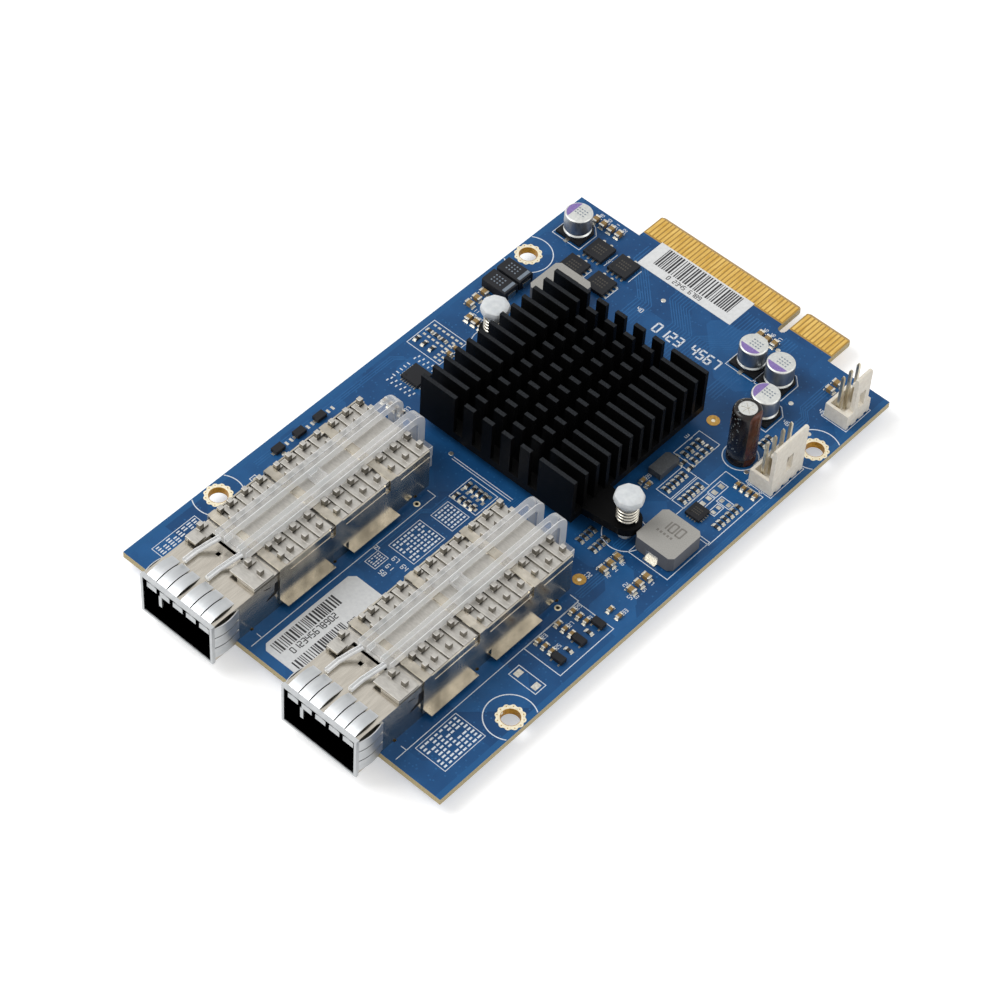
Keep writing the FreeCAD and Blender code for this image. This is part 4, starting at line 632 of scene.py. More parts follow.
def ruled_box(bm, x0, x1, y0, y1, rows, columns, z0, z1, pen=0.14):
    """Printed frame with short filled dashes in rows, as a jumper key has, without words."""
    margin, left_bare = 0.3, 0.12
    rectangle(bm, *spot(x0, y0), *spot(x1, y1), pen, z0, z1)
    draw = random.Random(int(x0 * 100 + y0))
    cell_x = (x1 - x0 - 2 * margin) / columns
    cell_y = (y1 - y0 - 2 * margin) / rows
    for i in range(columns):
        for j in range(rows):
            if draw.random() < left_bare:
                continue
            px, py = spot(x0 + margin + cell_x * (i + 0.18), y0 + margin + cell_y * (j + 0.2))
            length = cell_y * draw.uniform(0.55, 0.8)
            stroke(bm, [(px + cell_x * 0.3, py), (px + cell_x * 0.3, py + length)], cell_x * 0.46, z0, z1)


# Unfilled places beside the driver chip: middle, half length, half width and whether they lie along Y.
spare_places = ((73.9, 94.0, 2.0, 1.05, True), (74.0, 90.0, 1.7, 0.95, True), (77.2, 92.3, 1.6, 0.85, False),
                (77.0, 89.6, 1.5, 0.8, True))
# Printed frames: left, right, front and back.
printed_frames = ((1.8, 11.0, 79.5, 88.0), (72.4, 81.7, 37.0, 52.7), (72.0, 81.7, 81.6, 98.8),
                  (71.3, 81.4, 69.2, 82.3), (64.9, 68.6, 85.4, 93.6), (69.0, 72.1, 85.4, 93.6),
                  (61.2, 66.6, 95.2, 103.4), (74.3, 81.2, 30.4, 33.4), (36.2, 43.4, 55.0, 61.6),
                  (4.6, 6.2, 30.4, 31.9))
# Printed keys: left, right, front, back, rows and columns of dashes.
printed_keys = ((3.5, 6.6, 4.4, 16.1, 8, 4), (73.2, 80.8, 5.4, 16.6, 8, 8), (36.2, 43.0, 37.4, 46.4, 8, 7),
                (37.0, 42.8, 48.8, 53.8, 5, 6), (75.0, 80.2, 104.0, 110.0, 6, 5), (35.6, 38.4, 31.2, 35.0, 4, 4))
# Places of the small loose numbers and the way they are turned.
small_numbers = (
    (45, 60, 0), (48, 66.5, 0), (12, 72, 90), (13, 20, 90), (11.5, 46, 90), (76, 62, 0), (70, 66, 0), (60, 100, 0),
    (70, 104, 0), (16.5, 126, 0), (30, 120, 0), (53, 128, 0), (72, 117, 0), (75.5, 124.5, 0), (70, 58.5, 90),
    (79.5, 60.4, 90), (39.4, 31.0, 0), (39.4, 33.0, 0), (41.6, 34.9, 0), (39.0, 35.2, 0), (46.5, 56.5, 90),
    (46.5, 52.0, 90), (63.5, 79, 0), (35.4, 34.4, 90))


def board_print():
    """White print: circles, outlines round the parts, keys and plain counting digits."""
    bm = bmesh.new()
    z0, z1 = TOP, TOP + 0.02
    round_pen, pin_pen, seat_pen, frame_pen, fine_pen = 0.22, 0.2, 0.18, 0.17, 0.16
    keep_out, pin_circle, can_circle = 5.35, 4.7, 3.75
    for x, y in hole_places:
        to_rim = RIGHT - abs(x)
        if to_rim < keep_out:
            cut = math.degrees(math.acos(min(1, (to_rim - 0.2) / keep_out)))
            middle = 0 if x > 0 else 180
            stroke(bm, arc(x, y, keep_out, middle + cut, middle + 360 - cut, 48), round_pen, z0, z1)
        else:
            circle(bm, x, y, keep_out, round_pen, z0, z1)
    for x, y in {tuple(round(v, 1) for v in middle_of(*part)) for part in islands("push_pins")}:
        circle(bm, x, y, pin_circle, pin_pen, z0, z1)
    circle(bm, *middle_of(*span("radial_capacitor_sleeve")), can_circle, round_pen, z0, z1)
    for x0, x1, y0, y1 in printed_frames:
        rectangle(bm, *spot(x0, y0), *spot(x1, y1), frame_pen, z0, z1)
    for x, y, half, wide, along_y in spare_places:
        dx, dy = (wide, half) if along_y else (half, wide)
        rectangle(bm, *spot(x - dx, y - dy), *spot(x + dx, y + dy), frame_pen, z0, z1)
    for low, high in islands("power_transistors"):
        stroke(bm, [(high.x + 0.7, low.y + 0.4), (high.x + 0.7, high.y - 0.4)], seat_pen, z0, z1)
    for x in (34.3, 72.3):
        stroke(bm, [spot(x, 1.0), spot(x, 53.1), spot(x - 2.2, 53.1)], frame_pen, z0, z1)
        stroke(bm, [spot(x - 1.4, 3.9), spot(x, 3.9)], frame_pen, z0, z1)
    for y in (62.6, 63.2):
        stroke(bm, [spot(30.0, y), spot(46.0, y)], fine_pen, z0, z1)
    for x0, x1, y0, y1, rows, columns in printed_keys:
        ruled_box(bm, x0, x1, y0, y1, rows, columns, z0, z1)
    clear, corner = 0.5, 1.9
    for low, high in islands("polymer_capacitor_seats"):
        x0, x1, y0, y1 = low.x - clear, high.x + clear, low.y - clear, high.y + clear
        points = [(x0, y0), (x1, y0), (x1, y1 - corner), (x1 - corner, y1), (x0 + corner, y1), (x0, y1 - corner)]
        stroke(bm, points, seat_pen, z0, z1, closed=True)
    for name in ("fan_header_4pin", "fan_header_3pin"):
        low, high = span(name)
        rectangle(bm, low.x - 0.3, low.y - 0.3, high.x + 0.3, high.y + 0.3, fine_pen, z0, z1)
    low, high = span("monitor_chip")
    for row, y in enumerate((low.y - 2.6, low.y - 1.6, high.y + 1.1, high.y + 2.1)):
        for column in range(6):
            x = low.x - 1.6 + column * 1.25 + 0.3 * (row % 2)
            stroke(bm, [(x, y), (x, y + 0.62)], 0.3, z0, z1)
    for row in range(5):
        x, y = low.x - 1.9, low.y - 0.4 + row * 1.1
        stroke(bm, [(x, y), (x + 0.8, y)], 0.26, z0, z1)
    number = 1
    for name in ("big_ceramic_capacitors", "small_ceramic_capacitors"):
        for low, high in islands(name):
            number += 1
            if number % 2 or name.startswith("big"):
                if high.y - low.y > high.x - low.x:
                    x, y, turn = (low.x + high.x) / 2 + 0.35, high.y + 0.5, 90
                else:
                    x, y, turn = high.x + 0.45, low.y, 0
                plain_digits(bm, str(number), x, y, 0.85, z0, z1, turn)
    for place, (x, y, turn) in enumerate(small_numbers):
        plain_digits(bm, str(10 + place * 3), *spot(x, y), 1.05, z0, z1, turn)
    for text, x, y in (("0123", 36.0, 117.9), ("4567", 45.6, 118.5)):
        plain_digits(bm, text, *spot(x, y), 2.5, z0, z1)
    piece("board_print", bm, "screen_ink")


def bare_pads():
    """Tinned lands left bare, and round test dots."""
    bm = bmesh.new()
    z0, z1 = TOP, TOP + 0.03
    for x in (75.5, 80.0):
        pad(bm, *spot(x, 31.9), 0.65, 0.9, z0, z1)
    for row in range(3):
        for column in range(5):
            pad(bm, *spot(37.0 + column * 1.35, 56.0 + row * 2.2), 0.32, 0.42, z0, z1)
    taken = [part for name in ("chip_resistors", "big_ceramic_capacitors", "small_ceramic_capacitors",
                               "monitor_chip") for part in islands(name)]
    for column in range(7):
        for row in range(7):
            px, py = spot(2.9 + column * 1.22, 80.4 + row * 1.1)
            if not covered(px, py, taken, 0.5, 0.7):
                pad(bm, px, py, 0.36, 0.26, z0, z1)
    for x, y, half, wide, along_y in spare_places:
        shift, long_half, wide_half = half * 0.55, half * 0.27, wide * 0.6
        for way in (-1, 1):
            if along_y:
                pad(bm, *spot(x, y + way * shift), wide_half, long_half, z0, z1)
            else:
                pad(bm, *spot(x + way * shift, y), long_half, wide_half, z0, z1)
    for low, high in islands("power_transistors"):
        for share in (0.2, 0.6):
            lathe(bm, [(0.42, z0), (0.38, z1)], low.x + (high.x - low.x) * share, high.y + 0.75, 16)
    for low, high in islands("small_diodes"):
        middle = (low.x + high.x) / 2
        for y in (high.y + 0.9, high.y + 2.2):
            box(bm, middle - 0.5, middle + 0.5, y, y + 0.55, z0, z1)
    pad(bm, *spot(5.4, 31.15), 0.4, 0.4, z0, z1)
    draw = random.Random(11)
    for x, y in ((45.0, 50.0), (47.6, 58.2), (12.6, 88.5), (32.5, 126.0), (70.0, 122.4), (58.8, 132.0),
                 (78.0, 118.4), (29.0, 63.5), (69.8, 62.0), (75.0, 101.6), (61.5, 92.0), (12.2, 58.0),
                 (5.0, 40.0), (79.0, 22.6)):
        px, py = spot(x, y)
        lathe(bm, [(0.55, z0), (0.5, z1)], px + draw.uniform(-0.2, 0.2), py, 16)
    piece("bare_lands", bm, "tinned_copper")


def ringed_holes():
    """Small plated holes beside the cages: a tin ring round a black disc, painted shade standing in for the dark
    drill.
    """
    rings = bmesh.new()
    drill_shades = bmesh.new()
    for x in (33.0, 70.5):
        px, py = spot(x, 49.0)
        lathe(rings, [(0.75, TOP), (0.72, TOP + 0.04), (0.42, TOP + 0.04), (0.4, TOP)], px, py, 24, False)
        # Painted shade: a black disc stands for the dark inside of the drill.
        lathe(drill_shades, [(0.41, TOP), (0.38, TOP + 0.01)], px, py, 24)
    piece("small_hole_rings", rings, "tinned_ring", smooth=True)
    piece("small_hole_drill_shade", drill_shades, "black_moulding")


def tracks():
    """Copper tracks under the mask: bundles with square corners cut at 45 degrees, and scattered vias."""
    bm = bmesh.new()
    pen = 0.24
    # Each bundle: the first track's corners, how many tracks lie beside it, and their pitch.
    bundles = (
        ([(20, 136), (20, 131), (28, 123), (28, 116)], 6, 0.75),
        ([(33, 136), (33, 127.5), (38, 122.5), (38, 112)], 8, 0.75),
        ([(47, 136), (47, 126), (44, 123), (44, 112)], 8, 0.75),
        ([(58, 136), (58, 133), (55, 130), (55, 112)], 5, 0.75),
        ([(36, 54.5), (36, 50.0), (33.9, 47.9), (33.9, 30)], 3, 0.6),
        ([(2.2, 34), (2.2, 74), (4.2, 76)], 3, 0.55),
        ([(83.2, 60), (83.2, 100)], 2, 0.5),
        ([(70.6, 54), (70.6, 66), (68, 68.6), (68, 74)], 4, 0.55),
        ([(46, 48), (46, 64)], 4, 0.5),
        ([(12, 90), (12, 96), (8, 100), (8, 104)], 3, 0.6),
        ([(74, 110), (74, 121), (72, 123), (72, 134)], 4, 0.6),
    )
    for route, count, pitch in bundles:
        for i in range(count):
            stroke(bm, [spot(x + i * pitch, y) for x, y in route], pen, TOP, TOP + 0.012)
    piece("tracks", bm, "track")
    draw = random.Random(5)
    vias = bmesh.new()
    tries, hole_clear, part_clear, widest = 300, 6, 0.6, 60
    taken = [(low, high) for low, high in (span(name) for name in nodes if name != "edge_contacts")
             if max(high.x - low.x, high.y - low.y) < widest]
    for _ in range(tries):
        px, py = spot(draw.uniform(2.0, 82.5), draw.uniform(2.0, 134.0))
        near_hole = any((px - x) ** 2 + (py - y) ** 2 < hole_clear ** 2 for x, y in hole_places)
        if near_hole or covered(px, py, taken, part_clear, part_clear):
            continue
        for k in range(draw.choice((1, 1, 2, 3))):
            lathe(vias, [(0.2, TOP), (0.18, TOP + 0.015)], px + k * 0.9, py, 12)
    piece("tented_vias", vias, "track")


# ---------------------------------------------------------------- small parts
def ended_chips(name, body_finish, edge):
    """Ceramic chips: a body between two wrapped tin ends, each on a small solder fillet."""
    bodies = bmesh.new()
    ends = bmesh.new()
    cap_share, inset, foot, lift = 0.24, 0.03, 0.02, 0.14
    for low, high in islands(name):
        along_y = high.y - low.y > high.x - low.x
        along, across = (1, 0) if along_y else (0, 1)
        start, end, near, far = low[along], high[along], low[across], high[across]
        cap = (end - start) * cap_share
        laid(bodies, along_y, start + cap * 0.6, end - cap * 0.6, near + inset, far - inset, low.z, high.z - inset)
        for a, b in ((start, start + cap), (end - cap, end)):
            laid(ends, along_y, a, b, near, far, low.z + foot, high.z)
        for a, b in ((start - 0.3, start + 0.05), (end - 0.05, end + 0.3)):
            laid(ends, along_y, a, b, near - 0.05, far + 0.05, TOP, TOP + lift)
    piece(name + "_bodies", bodies, body_finish, (name,), edge)
    piece(name + "_tin_ends", ends, "tinned_copper", (), edge)


def package_marks():
    """Key dots and faint marks on the chip packages, polarity bars, and a plain number on the inductors."""
    dots = bmesh.new()
    for name in ("power_transistors", "power_driver_chip", "monitor_chip"):
        for low, high in islands(name):
            lathe(dots, [(0.3, high.z), (0.28, high.z + 0.012)], low.x + 0.8, low.y + 0.8, 16)
    piece("package_key_dots", dots, "black_moulding")
    bars = bmesh.new()
    side = 0.34
    for low, high in islands("tantalum_capacitors"):
        z0, z1 = high.z, high.z + 0.015
        box(bars, high.x - 1.25, high.x - 0.45, low.y + 0.35, high.y - 0.35, z0, z1)
        for i in range(4):
            for j in range(3):
                x, y = low.x + 1.5 + i * 0.8, low.y + 1.0 + j * 0.85
                box(bars, x, x + side, y, y + side, z0, z1)
    piece("tantalum_polarity_bars", bars, "grey_ink")
    marks = bmesh.new()
    for low, high in islands("power_transistors") + islands("power_driver_chip"):
        wide, deep = high.x - low.x, high.y - low.y
        for line in range(3):
            for dash in range(5):
                x, y = low.x + wide * (0.22 + 0.115 * dash), low.y + deep * (0.3 + 0.17 * line)
                box(marks, x, x + wide * 0.07, y, y + deep * 0.08, high.z, high.z + 0.01)
    piece("chip_marks", marks, "laser_mark")
    values = bmesh.new()
    for low, high in islands("power_inductors"):
        size = (high.x - low.x) * 0.24
        middle_x, middle_y = middle_of(low, high)
        x, y = middle_x - size * 1.1, middle_y + size * 0.25
        z0, z1 = high.z, high.z + 0.01
        plain_digits(values, "100", x, y, size, z0, z1)
        for dash in range(5):
            start = x + dash * 0.85
            box(values, start, start + 0.5, y - size * 0.6, y - size * 0.35, z0, z1)
    piece("inductor_value", values, "stamped_mark")


# ---------------------------------------------------------------- capacitors
def polymer_cans():
    """Drawn cans: crimped neck, rounded rim, and a violet segment and small dashes printed on each lid."""
    cans = bmesh.new()
    segments = bmesh.new()
    dashes = bmesh.new()
    half_segment = 66
    for index, (low, high) in enumerate(islands("polymer_capacitor_cans")):
        cx, cy = middle_of(low, high)
        r = (high.x - low.x) / 2
        neck = r - 0.28
        z0, z1 = low.z, high.z
        profile = [(r - 0.12, z0), (r, z0 + 0.12), (r, z0 + 0.5), (neck, z0 + 0.8), (neck, z0 + 0.95),
                   (r, z0 + 1.25), (r, z1 - 0.42), (r - 0.06, z1 - 0.2), (r - 0.18, z1 - 0.07), (r - 0.38, z1)]
        lathe(cans, profile, cx, cy, 48)
        turned = 270 if index in (1, 2) else 180
        slab(segments, arc(cx, cy, r - 0.42, turned - half_segment, turned + half_segment, 24), z1, z1 + 0.012)
        for line in range(3):
            for dash in range(4):
                x, y = cx - 0.9 + dash * 0.7, cy - 0.5 + line * 0.75
                box(dashes, x, x + 0.4, y, y + 0.3, z1, z1 + 0.01)
    piece("polymer_cans", cans, "can_aluminium", ("polymer_capacitor_cans",), smooth=True)
    piece("polymer_can_segments", segments, "can_ink")
    piece("polymer_can_dashes", dashes, "grey_ink")


def radial_capacitor():
    """Tall can with a scored lid inside its shrunk sleeve."""
    low, high = span("radial_capacitor_sleeve")
    cx, cy = middle_of(low, high)
    r = (high.x - low.x) / 2
    sleeve = bmesh.new()
    profile = [(r - 0.15, low.z), (r, low.z + 0.15), (r, low.z + 1.3), (r - 0.22, low.z + 1.7), (r, low.z + 2.1),
               (r, high.z - 0.95), (r - 0.12, high.z - 0.45), (r - 0.4, high.z - 0.12), (r - 0.8, high.z),
               (r - 1.1, high.z - 0.02), (r - 1.15, high.z - 0.2)]
    lathe(sleeve, profile, cx, cy, 56, False)
    piece("tall_capacitor_sleeve", sleeve, "brown_sleeve", ("radial_capacitor_sleeve",),
          smooth=True)
    lid = bmesh.new()
    face = high.z - 0.14
    lathe(lid, [(r - 0.4, low.z + 0.1), (r - 0.4, face - 0.3), (r - 0.6, face), (0.02, face)], cx, cy, 56)
    piece("tall_capacitor_can", lid, "can_aluminium", ("radial_capacitor_can",), smooth=True)
    score = bmesh.new()
    reach = 1.5
    for turn in (20, 80, 140):
        dx, dy = reach * math.cos(math.radians(turn)), reach * math.sin(math.radians(turn))
        stroke(score, [(cx - dx, cy - dy), (cx + dx, cy + dy)], 0.14, face, face + 0.01)
    piece("tall_capacitor_score", score, "spring_wire")


# ---------------------------------------------------------------- heat sink fasteners
def push_pin_places():
    """Axis of each push pin, from its parts."""
    places = {}
    for low, high in islands("push_pins"):
        places.setdefault(round((low.x + high.x) / 2), []).append((low, high))
    found = []
    for group in places.values():
        low = Vector([min(b[0][i] for b in group) for i in range(3)])
        high = Vector([max(b[1][i] for b in group) for i in range(3)])
        found.append(((low.x + high.x) / 2, (low.y + high.y) / 2, low.z, high.z, (high.x - low.x) / 2))
    return found


def push_pins():
    """Moulded nylon pins: a flat-topped head with a ring of hanging teeth, a shank and a split barb."""
    heads = bmesh.new()
    springs = bmesh.new()
    spring_low = span("push_pin_springs")[0].z
    lobes, shank, wire, coil, turns = 8, 1.45, 0.28, 2.08, 4.5
    slope = math.cos(math.pi / lobes)
    for x, y, z0, z1, radius in push_pin_places():
        rings = []
        for share, z in ((0.96, z1 - 1.75), (1.0, z1 - 1.5), (1.0, z1 - 0.85), (0.93, z1 - 0.35),
                         (0.78, z1 - 0.08), (0.55, z1)):
            ring = []
            for i in range(lobes * 6):
                a = 2 * math.pi * i / (lobes * 6)
                facet = (a % (2 * math.pi / lobes)) - math.pi / lobes
                reach = radius * share * (0.35 + 0.65 * slope / math.cos(facet))
                ring.append((x + reach * math.cos(a), y + reach * math.sin(a), z))
            rings.append(ring)
        skin(heads, rings)
        for i in range(lobes):
            a = 2 * math.pi * (i + 0.5) / lobes
            out = Vector((math.cos(a), math.sin(a), 0))
            side = Vector((-out.y, out.x, 0))
            tooth = []
            for z, reach, half in ((z1 - 1.7, 0.95, 0.75), (z1 - 2.5, 0.8, 0.5), (z1 - 3.05, 0.66, 0.28)):
                base = Vector((x, y, 0)) + out * radius * reach + Vector((0, 0, z))
                tooth.append([base + side * half, base - side * half, base - side * half - out * 0.55,
                              base + side * half - out * 0.55])
            skin(heads, tooth)
        lathe(heads, [(shank, 0.0), (shank, z1 - 1.7)], x, y, 28)
        slit = 0.3
        for side in (-1, 1):
            half = []
            for z, r in ((z0, 1.0), (-0.9, 1.9), (-0.05, 1.95), (0.0, shank), (TOP + 0.4, shank)):
                flat = x + side * slit
                points = [(flat, y - r)]
                points += [(x + side * (slit + (r - slit) * math.cos(t)), y + r * math.sin(t))
                           for t in (math.radians(-80 + 160 * k / 10) for k in range(11))]
                points.append((flat, y + r))
                half.append([(px, py, z) for px, py in points])
            skin(heads, half)
        top = z1 - 3.05
        path = []
        steps = int(turns * 28)
        for i in range(steps + 1):
            a = 2 * math.pi * turns * i / steps
            rise = spring_low + wire + (top - spring_low - 2 * wire) * i / steps
            path.append(Vector((x + coil * math.cos(a), y + coil * math.sin(a), rise)))
        tube(springs, path, wire, 10)
    piece("nylon_push_pins", heads, "white_nylon", ("push_pins",), 0.05, smooth=True)
    piece("coil_springs", springs, "spring_wire", ("push_pin_springs",), smooth=True)


# ---------------------------------------------------------------- port assembly
def bowed_leaf(bm, length, width, bulge, matrix, sheet=0.2):
    """Spring finger with a smooth bow and rolled tip, placed by a matrix."""
    steps, tip = 14, 0.94
    sections = []
    for i in range(steps + 1):
        t = i / steps
        rise = (bulge - sheet) * math.sin(math.pi * t / tip) ** 0.8 if 0 < t < tip else 0.0
        half = width / 2 * (1 - 0.12 * max(0, t - 0.75) / 0.25)
        corners = ((-half, rise), (half, rise), (half, rise + sheet), (-half, rise + sheet))
        sections.append([matrix @ Vector((x, t * length, z)) for x, z in corners])
    skin(bm, sections)


def collars():
    """Bright sprung collar round each cage mouth, with bowed fingers outside and curled tips inside."""
    sheet, lip = 0.2, 0.4
    width, slit, gap = 2.5, 0.25, 1.1
    group = 3 * width + 2 * slit
    first = -(2 * group + gap) / 2 + width / 2
    half = cage_half
    for side in SIDES:
        low, high = span("spring_collar_" + side)
        centre = cage_middle[side]
        mouth = low.y + sheet
        back = mouth + 0.6
        under = low.z + 0.75
        bm = bmesh.new()
        for x0, x1, z0, z1 in ((-half - sheet, half + sheet, roof_z, roof_z + sheet),
                               (-half - sheet, half + sheet, under - sheet, under),
                               (-half - sheet, -half, under, roof_z), (half, half + sheet, under, roof_z)):
            box(bm, centre + x0, centre + x1, mouth - sheet, back, z0, z1)
        for x0, x1, z0, z1 in ((-half, half, roof_z - lip, roof_z), (-half, half, under, under + lip),
                               (-half, -half + lip, under + lip, roof_z - lip),
                               (half - lip, half, under + lip, roof_z - lip)):
            box(bm, centre + x0, centre + x1, mouth - sheet, mouth, z0, z1)
        for g in range(2):
            for i in range(3):
                x = centre + first + g * (group + gap) + i * (width + slit)
                bowed_leaf(bm, 6.5, width, high.z - roof_z, Matrix.Translation((x, back, roof_z)))
                flip = Matrix.Translation((x, back, under)) @ Matrix.Rotation(math.pi, 4, "Y")
                bowed_leaf(bm, 4.8, width, under - low.z, flip)
        tall = (roof_z - TOP - 1.0) / 3 - slit
        reach = (high.x - low.x) / 2 - half
        for way in (-1, 1):
            turn = Matrix.Rotation(way * math.pi / 2, 4, "Y")
            for i in range(3):
                z = TOP + 0.7 + tall / 2 + i * (tall + slit)
                bowed_leaf(bm, 6.5, tall, reach, Matrix.Translation((centre + way * half, back, z)) @ turn)
        piece("sprung_collar_" + side, bm, "bright_spring_sheet",
              ("spring_collar_" + side,), smooth=True)
        inner = bmesh.new()
        # Each curled tip: depth behind the mouth, drop below the roof and half width of its sections.
        tip = ((0.6, 0.3, 0.3), (0.45, 1.7, 0.3), (0.3, 1.75, 1.3), (0.25, 3.1, 1.3), (0.6, 3.6, 1.2))
        pitch, thick = 3.55, 0.14
        for i in range(5):
            x = centre + (i - 2) * pitch
            sections = []
            for depth, drop, wide in tip:
                y, z = mouth + depth, roof_z - drop
                sections.append([(x - wide, y, z), (x + wide, y, z), (x + wide, y + thick, z),
                                 (x - wide, y + thick, z)])
            skin(inner, sections)
        rib = centre - half + 4.6
        box(inner, rib - 0.4, rib + 0.4, mouth + 0.3, mouth + 0.65, roof_z - 6.4, roof_z - 3.3)
        piece("mouth_fingers_" + side, inner, "bright_spring_sheet")


def host_contacts():
    """Two rows of gold contacts deep inside each module bay."""
    count, pitch, half, thick = 19, 0.7, 0.15, 0.15
    card_low = TOP + 4.6
    for side in SIDES:
        front = span("host_connector_" + side)[0].y
        bm = bmesh.new()
        for i in range(count):
            x = cage_middle[side] + (i - 9) * pitch
            for z in (card_low + 0.05, card_low + 1.3):
                box(bm, x - half, x + half, front + 0.3, front + 4.0, z, z + thick)
        piece("bay_contacts_" + side, bm, "contact_gold", bevel_mm=0.03)


def cage_sinks():
    """Milled sinks on the cages: a stepped plate, a shallow pocket at each row and square pins."""
    half = cage_half
    plate_top = roof_z + 1.3
    step, pin = 0.55, 0.55
    shelf = plate_top - step
    notch_left, notch_right, depth, corner = -6.4, 2.6, 4.6, 2.2
    row_count, pitch, strap_clear = 12, 4.05, 1.65
    for side in SIDES:
        name = "cage_heat_sink_" + side
        low, high = sink_boxes[side]
        centre = cage_middle[side]
        y0, y1 = low.y, high.y
        bm = bmesh.new()
        outline = [(-half, y0), (notch_left - corner, y0), (notch_left, y0 + corner), (notch_left, y0 + depth),
                   (notch_right, y0 + depth), (notch_right, y0 + corner), (notch_right + corner, y0), (half, y0),
                   (half, y1), (-half, y1)]
        slab(bm, [(centre + x, y) for x, y in outline], roof_z, shelf)
        rows = []
        for i in range(row_count):
            y = y0 + 3.6 + i * pitch
            near = [s for s in strap_places if abs(y - s) < strap_clear]
            rows.append(y if not near else near[0] + math.copysign(strap_clear, y - near[0] or 1))
        for index, y in enumerate(rows):
            start = y0 + 0.02 if index == 0 else y - 1.9
            end = min(y + 1.75, y1 - 0.02)
            if index + 1 < len(rows):
                end = min(end, rows[index + 1] - 2.1)
            beside_notch = y < y0 + depth + 1.1
            # Each lane of the plate: its two edges and the two pins of a row.
            lanes = ((-half + 0.02, -6.45 if beside_notch else -4.9, -8.8, -5.7),
                     (2.65 if beside_notch else 3.2, half - 0.02, 4.2, 7.5))
            for x0, x1, a, b in lanes:
                if y - 0.75 > start:
                    box(bm, centre + x0, centre + x1, start, y - 0.75, shelf, plate_top)
                box(bm, centre + x0, centre + a + pin, y - 0.75, end, shelf, plate_top - 0.01)
                if b + pin < x1:
                    box(bm, centre + b - pin, centre + x1, y - 0.75, end, shelf, plate_top - 0.01)
                for x in (a, b):
                    if x0 < x < x1:
                        pad(bm, centre + x, y, pin, pin, shelf, high.z)
        box(bm, centre - 4.9, centre + 3.2, y0 + depth + 0.3, y1 - 0.02, shelf, plate_top - 0.02)
        box(bm, centre - 5.2, centre + 5.2, y0 + 11.4, y1 - 4.0, low.z, roof_z)
        piece("cage_sink_" + side, bm, "plain_aluminium", (name,), 0.1)


def clip_rails():
    """Thin bent rails of the sink clips along the cage's upper edges, between the straps."""
    bm = bmesh.new()
    ends = strap_places + [sink_boxes["left"][1].y + 1.2]
    for side in SIDES:
        for way in (-1, 1):
            x0, x1 = sorted(cage_middle[side] + way * (cage_half + out) for out in (0.02, 0.5))
            for start, end in zip(ends, ends[1:]):
                box(bm, x0, x1, start + 1.9, end - 1.6, roof_z - 0.75, roof_z - 0.45)
    piece("clip_rails", bm, "clip_steel", bevel_mm=0.06)


def side_windows():
    """Latch windows, black patches painted as the shade inside the cage, and small embossed tabs in the side walls
    of the cages.
    """
    windows = bmesh.new()
    tabs = bmesh.new()
    # Outlines as distance behind the board's front edge and drop below the roof.
    window = [(10.4, 1.8), (11.3, 1.8), (11.3, 4.6), (10.6, 5.2), (8.1, 5.5), (8.5, 4.9), (10.2, 4.2)]
    slit = [(7.5, 1.35), (9.3, 1.9), (9.3, 2.1), (7.5, 1.55)]
    for side in SIDES:
        for way in (-1, 1):
            wall = cage_middle[side] + way * cage_half
            # Painted shade: each window and slit is a black patch for the dark inside of the cage.
            for outline in (window, slit):
                skin(windows, [[(wall + way * out, FRONT + y, roof_z - drop) for y, drop in outline]
                               for out in (-0.05, 0.02)])
            x0, x1 = sorted((wall, wall + way * 0.1))
            for y in (22.4, 25.2):
                box(tabs, x0, x1, FRONT + y, FRONT + y + 1.5, TOP + 1.6, TOP + 1.95)
    piece("latch_window_shade", windows, "black_moulding")
    piece("embossed_latch_tabs", tabs, "clip_steel", bevel_mm=0.03)


